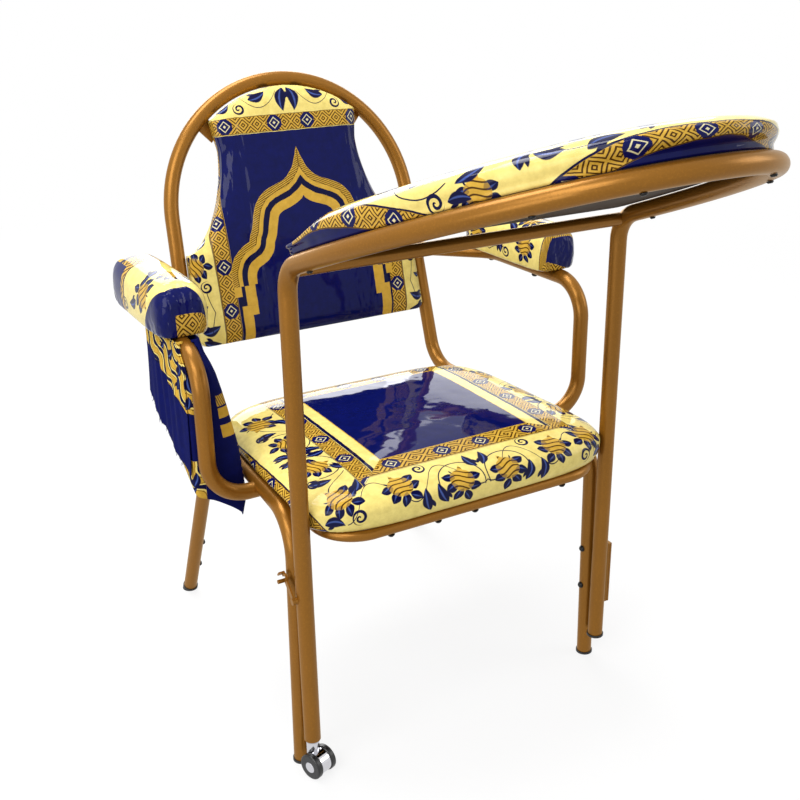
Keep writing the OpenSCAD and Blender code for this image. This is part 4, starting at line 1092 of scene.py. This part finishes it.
class CHAIR_OT_pocket(bpy.types.Operator):
    """Makes the cloth pocket under the left arm and the frayed flap over its outer side"""

    bl_idname = "chair.pocket"
    bl_label = "Cloth pocket"

    def execute(self, context):
        m = printed("Pocket cloth", pocket_print, base="navy", glossy=False)
        open_ends = {"closed": False, "low_cap": False, "high_cap": False}
        rows, place = pocket_rows(190)
        rings, places = [], []
        for t in np.linspace(0, 1, 80):
            z = POCKET_TOP + (rows[:, 2] - POCKET_TOP) * t
            rings.append(np.stack([*pocket_ring(rows, z), z], 1))
            places.append(np.stack([place, z], 1))
        bag = skin("pocket_cloth", rings, places, m, **open_ends)
        off_tube(bag, 0.0138)
        # The flap hangs outside the bag; its hem runs down towards the front and has frayed
        rng = np.random.default_rng(12)
        outer = (place < -0.012) & (rows[:, 0] < -0.3525)
        rows, place = rows[outer], place[outer]
        back = rows[:, 1]
        hem = np.interp(back, (0.1, 0.165, 0.22, 0.262), (0.44, 0.468, 0.494, 0.52))
        hem += 0.003 * ripples(back * 60, 5, 8, 6, 40) + rng.uniform(-0.001, 0.001, len(back))
        top = POCKET_TOP - 0.002
        cloth, spots = [], []
        for k in np.linspace(0, 1, 40):
            z = top + (hem - top) * k
            x, y = pocket_ring(rows, z)
            x = x - 0.0018 - 0.004 * k * k - 0.0016 * k * np.sin(back * 90 + 1)
            cloth.append(np.stack([x, y, z], 1))
            spots.append(np.stack([place, np.maximum(z, 0.466)], 1))
        flap = skin("pocket_flap", cloth, spots, m, **open_ends)
        # Loose threads at the hem
        edge = cloth[-1]
        pts, faces = [], []
        for _ in range(70):
            root = Vector(edge[rng.integers(0, len(edge))])
            way = Vector((rng.uniform(-0.5, 0.2), rng.uniform(-0.6, 0.6), -1)).normalized()
            long = rng.uniform(0.003, 0.008)
            mid = root + way * long * 0.5 + Vector((rng.uniform(-1, 1), rng.uniform(-1, 1), 0)) * 0.0015
            tip = mid + (way + Vector((rng.uniform(-0.6, 0.6), rng.uniform(-0.6, 0.6), 0))) * long * 0.5
            n = len(pts)
            for q, w in ((root, 0.0005), (mid, 0.0004), (tip, 0.0002)):
                pts += [q + Vector((0, w, 0)), q - Vector((0, w, 0))]
            faces += [(n, n + 1, n + 3, n + 2), (n + 2, n + 3, n + 5, n + 4)]
        threads = mesh_object("pocket_threads", pts, faces, [(0.12, 0.35)] * len(pts), m)
        for o in (bag, flap):
            mod = o.modifiers.new("Cloth", "SOLIDIFY")
            mod.thickness = 0.001
            mod.offset = 0
        for o in (bag, flap, threads):
            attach(o, "chair")
        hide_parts("cloth_pocket")
        return {"FINISHED"}


# ---- stage

CAMERA_AT = Vector((-0.7953, -1.5297 + SHIFT_Y, 1.1279))
# Yaw, pitch and roll in degrees, and focal length in millimetres
CAMERA_TURN = (29.454, 21.871, -0.97)
CAMERA_LENS = 48.92


def camera():
    yaw, pitch, roll = (radians(v) for v in CAMERA_TURN)
    m = Matrix.Rotation(-yaw, 4, "Z") @ Matrix.Rotation(pi / 2 - pitch, 4, "X") @ Matrix.Rotation(roll, 4, "Z")
    m.translation = CAMERA_AT
    data = bpy.data.cameras.new("Camera")
    data.lens = CAMERA_LENS
    data.sensor_width = 36
    data.clip_end = 50
    o = placed("Camera", data)
    o.matrix_world = m
    bpy.context.scene.camera = o


def lamp(name, at, to, size, power):
    data = bpy.data.lights.new(name, "AREA")
    data.shape = "RECTANGLE"
    data.size, data.size_y = size
    data.energy = power
    o = placed(name, data)
    o.location = at
    o.rotation_euler = (Vector(to) - Vector(at)).to_track_quat("-Z", "Y").to_euler()
    o.visible_camera = False


def light_path(tree, ray):
    return Val(tree, tree.nodes.new("ShaderNodeLightPath").outputs[ray])


def white_where_seen(tree, own, white, out, share=1.0):
    """Shows white to the camera, in mirrors and through glass, and its own shading to all other light."""
    seen = light_path(tree, "Is Camera Ray").high(light_path(tree, "Is Glossy Ray"))
    seen = seen.high(light_path(tree, "Is Transmission Ray")) * share
    mix = tree.nodes.new("ShaderNodeMixShader")
    for slot, v in zip(mix.inputs, (seen, own.outputs[0], white.outputs[0])):
        feed(slot, v)
    fill_in(tree.nodes[out], Surface=mix.outputs[0])


FLOOR_HALF = 90


class CHAIR_OT_stage(bpy.types.Operator):
    """Sets the camera, the lamps, the floor and the white surroundings"""

    bl_idname = "chair.stage"
    bl_label = "Stage"

    def execute(self, context):
        s = context.scene.chair_stage
        context.scene.view_settings.view_transform = "Standard"
        camera()
        lamp("Key", (-2.3, -1.3, 2.9), (0, 0, 0.5), (2.4, 1.6), s.key)
        lamp("Fill", (2.7, -1.4, 1.9), (0, 0, 0.6), (1.5, 1.5), s.fill)
        lamp("Top", (-0.4, 0.9, 2.9), (0, 0.1, 0.5), (2.0, 1.2), s.fill * 3)
        # Windows: two low behind the chair and one low on its left, which film and paint show as bright patches
        windows = [("Window", 38, 6.0, 2.3, (2.4, 1.3), 1.0), ("Far window", 13, 6.0, 2.4, (3.4, 3.0), 5.4),
                   ("Left window", 246, 4.2, 1.1, (2.2, 1.8), 1.8)]
        for name, turn, away, high, size, share in windows:
            t = radians(turn)
            lamp(name, (away * sin(t), away * cos(t), high), (0, 0, 0.7), size, s.window * share)
        me = bpy.data.meshes.new("Floor")
        corners = [(x * FLOOR_HALF, y * FLOOR_HALF, 0) for x, y in ((-1, -1), (1, -1), (1, 1), (-1, 1))]
        me.from_pydata(corners, [], [(0, 1, 2, 3)])
        floor = placed("Floor", me)
        m, tree, body = shader("Pale floor")
        pale = ramp(light_path(tree, "Is Camera Ray"), (0.45, 0.45, 0.45), (0.92, 0.92, 0.92))
        fill_in(body, Base_Color=pale, Roughness=0.7)
        # Seen straight on, it is mostly plain white; near the chair the rest still takes its shadow
        share = radius(*parts_of(tree, object_place(tree))).above(2.6, 2.8) * 0.2 + 0.8
        white_where_seen(tree, body, tree.nodes.new("ShaderNodeEmission"), "Material Output", share)
        me.materials.append(m)
        world = bpy.data.worlds.new("Surroundings")
        context.scene.world = world
        world.use_nodes = True
        tree = world.node_tree
        sky, white = tree.nodes["Background"], tree.nodes.new("ShaderNodeBackground")
        fill_in(sky, Color=(1, 1, 1, 1), Strength=s.sky)
        fill_in(white, Color=(1, 1, 1, 1), Strength=1.0)
        white_where_seen(tree, sky, white, "World Output")
        return {"FINISHED"}


# ---- add-on

class CHAIR_PT_looks(bpy.types.Panel):
    """Buttons and settings for the chair's looks"""

    bl_label = "Prayer chair"
    bl_idname = "CHAIR_PT_looks"
    bl_space_type = "VIEW_3D"
    bl_region_type = "UI"
    bl_category = "Prayer chair"

    def draw(self, context):
        scene = context.scene
        for group in GROUPS:
            box = self.layout.box()
            settings = getattr(scene, group)
            for name in settings.__annotations__:
                box.prop(settings, name)
        for step in STEPS:
            self.layout.operator("chair." + step)


STEPS = ("paint", "seat", "back", "table", "arms", "pocket", "stage")
GROUPS = {"chair_paint": PaintSettings, "chair_cover": CoverSettings, "chair_stage": StageSettings}
CLASSES = (PaintSettings, CoverSettings, StageSettings, CHAIR_OT_paint, CHAIR_OT_seat,
           CHAIR_OT_back, CHAIR_OT_table, CHAIR_OT_arms, CHAIR_OT_pocket, CHAIR_OT_stage, CHAIR_PT_looks)


def register():
    for c in CLASSES:
        bpy.utils.register_class(c)
    for name, group in GROUPS.items():
        setattr(bpy.types.Scene, name, PointerProperty(type=group))


def unregister():
    for name in GROUPS:
        delattr(bpy.types.Scene, name)
    for c in reversed(CLASSES):
        bpy.utils.unregister_class(c)


def main():
    register()
    for step in STEPS:
        getattr(bpy.ops.chair, step)()


if __name__ == "__main__":
    main()
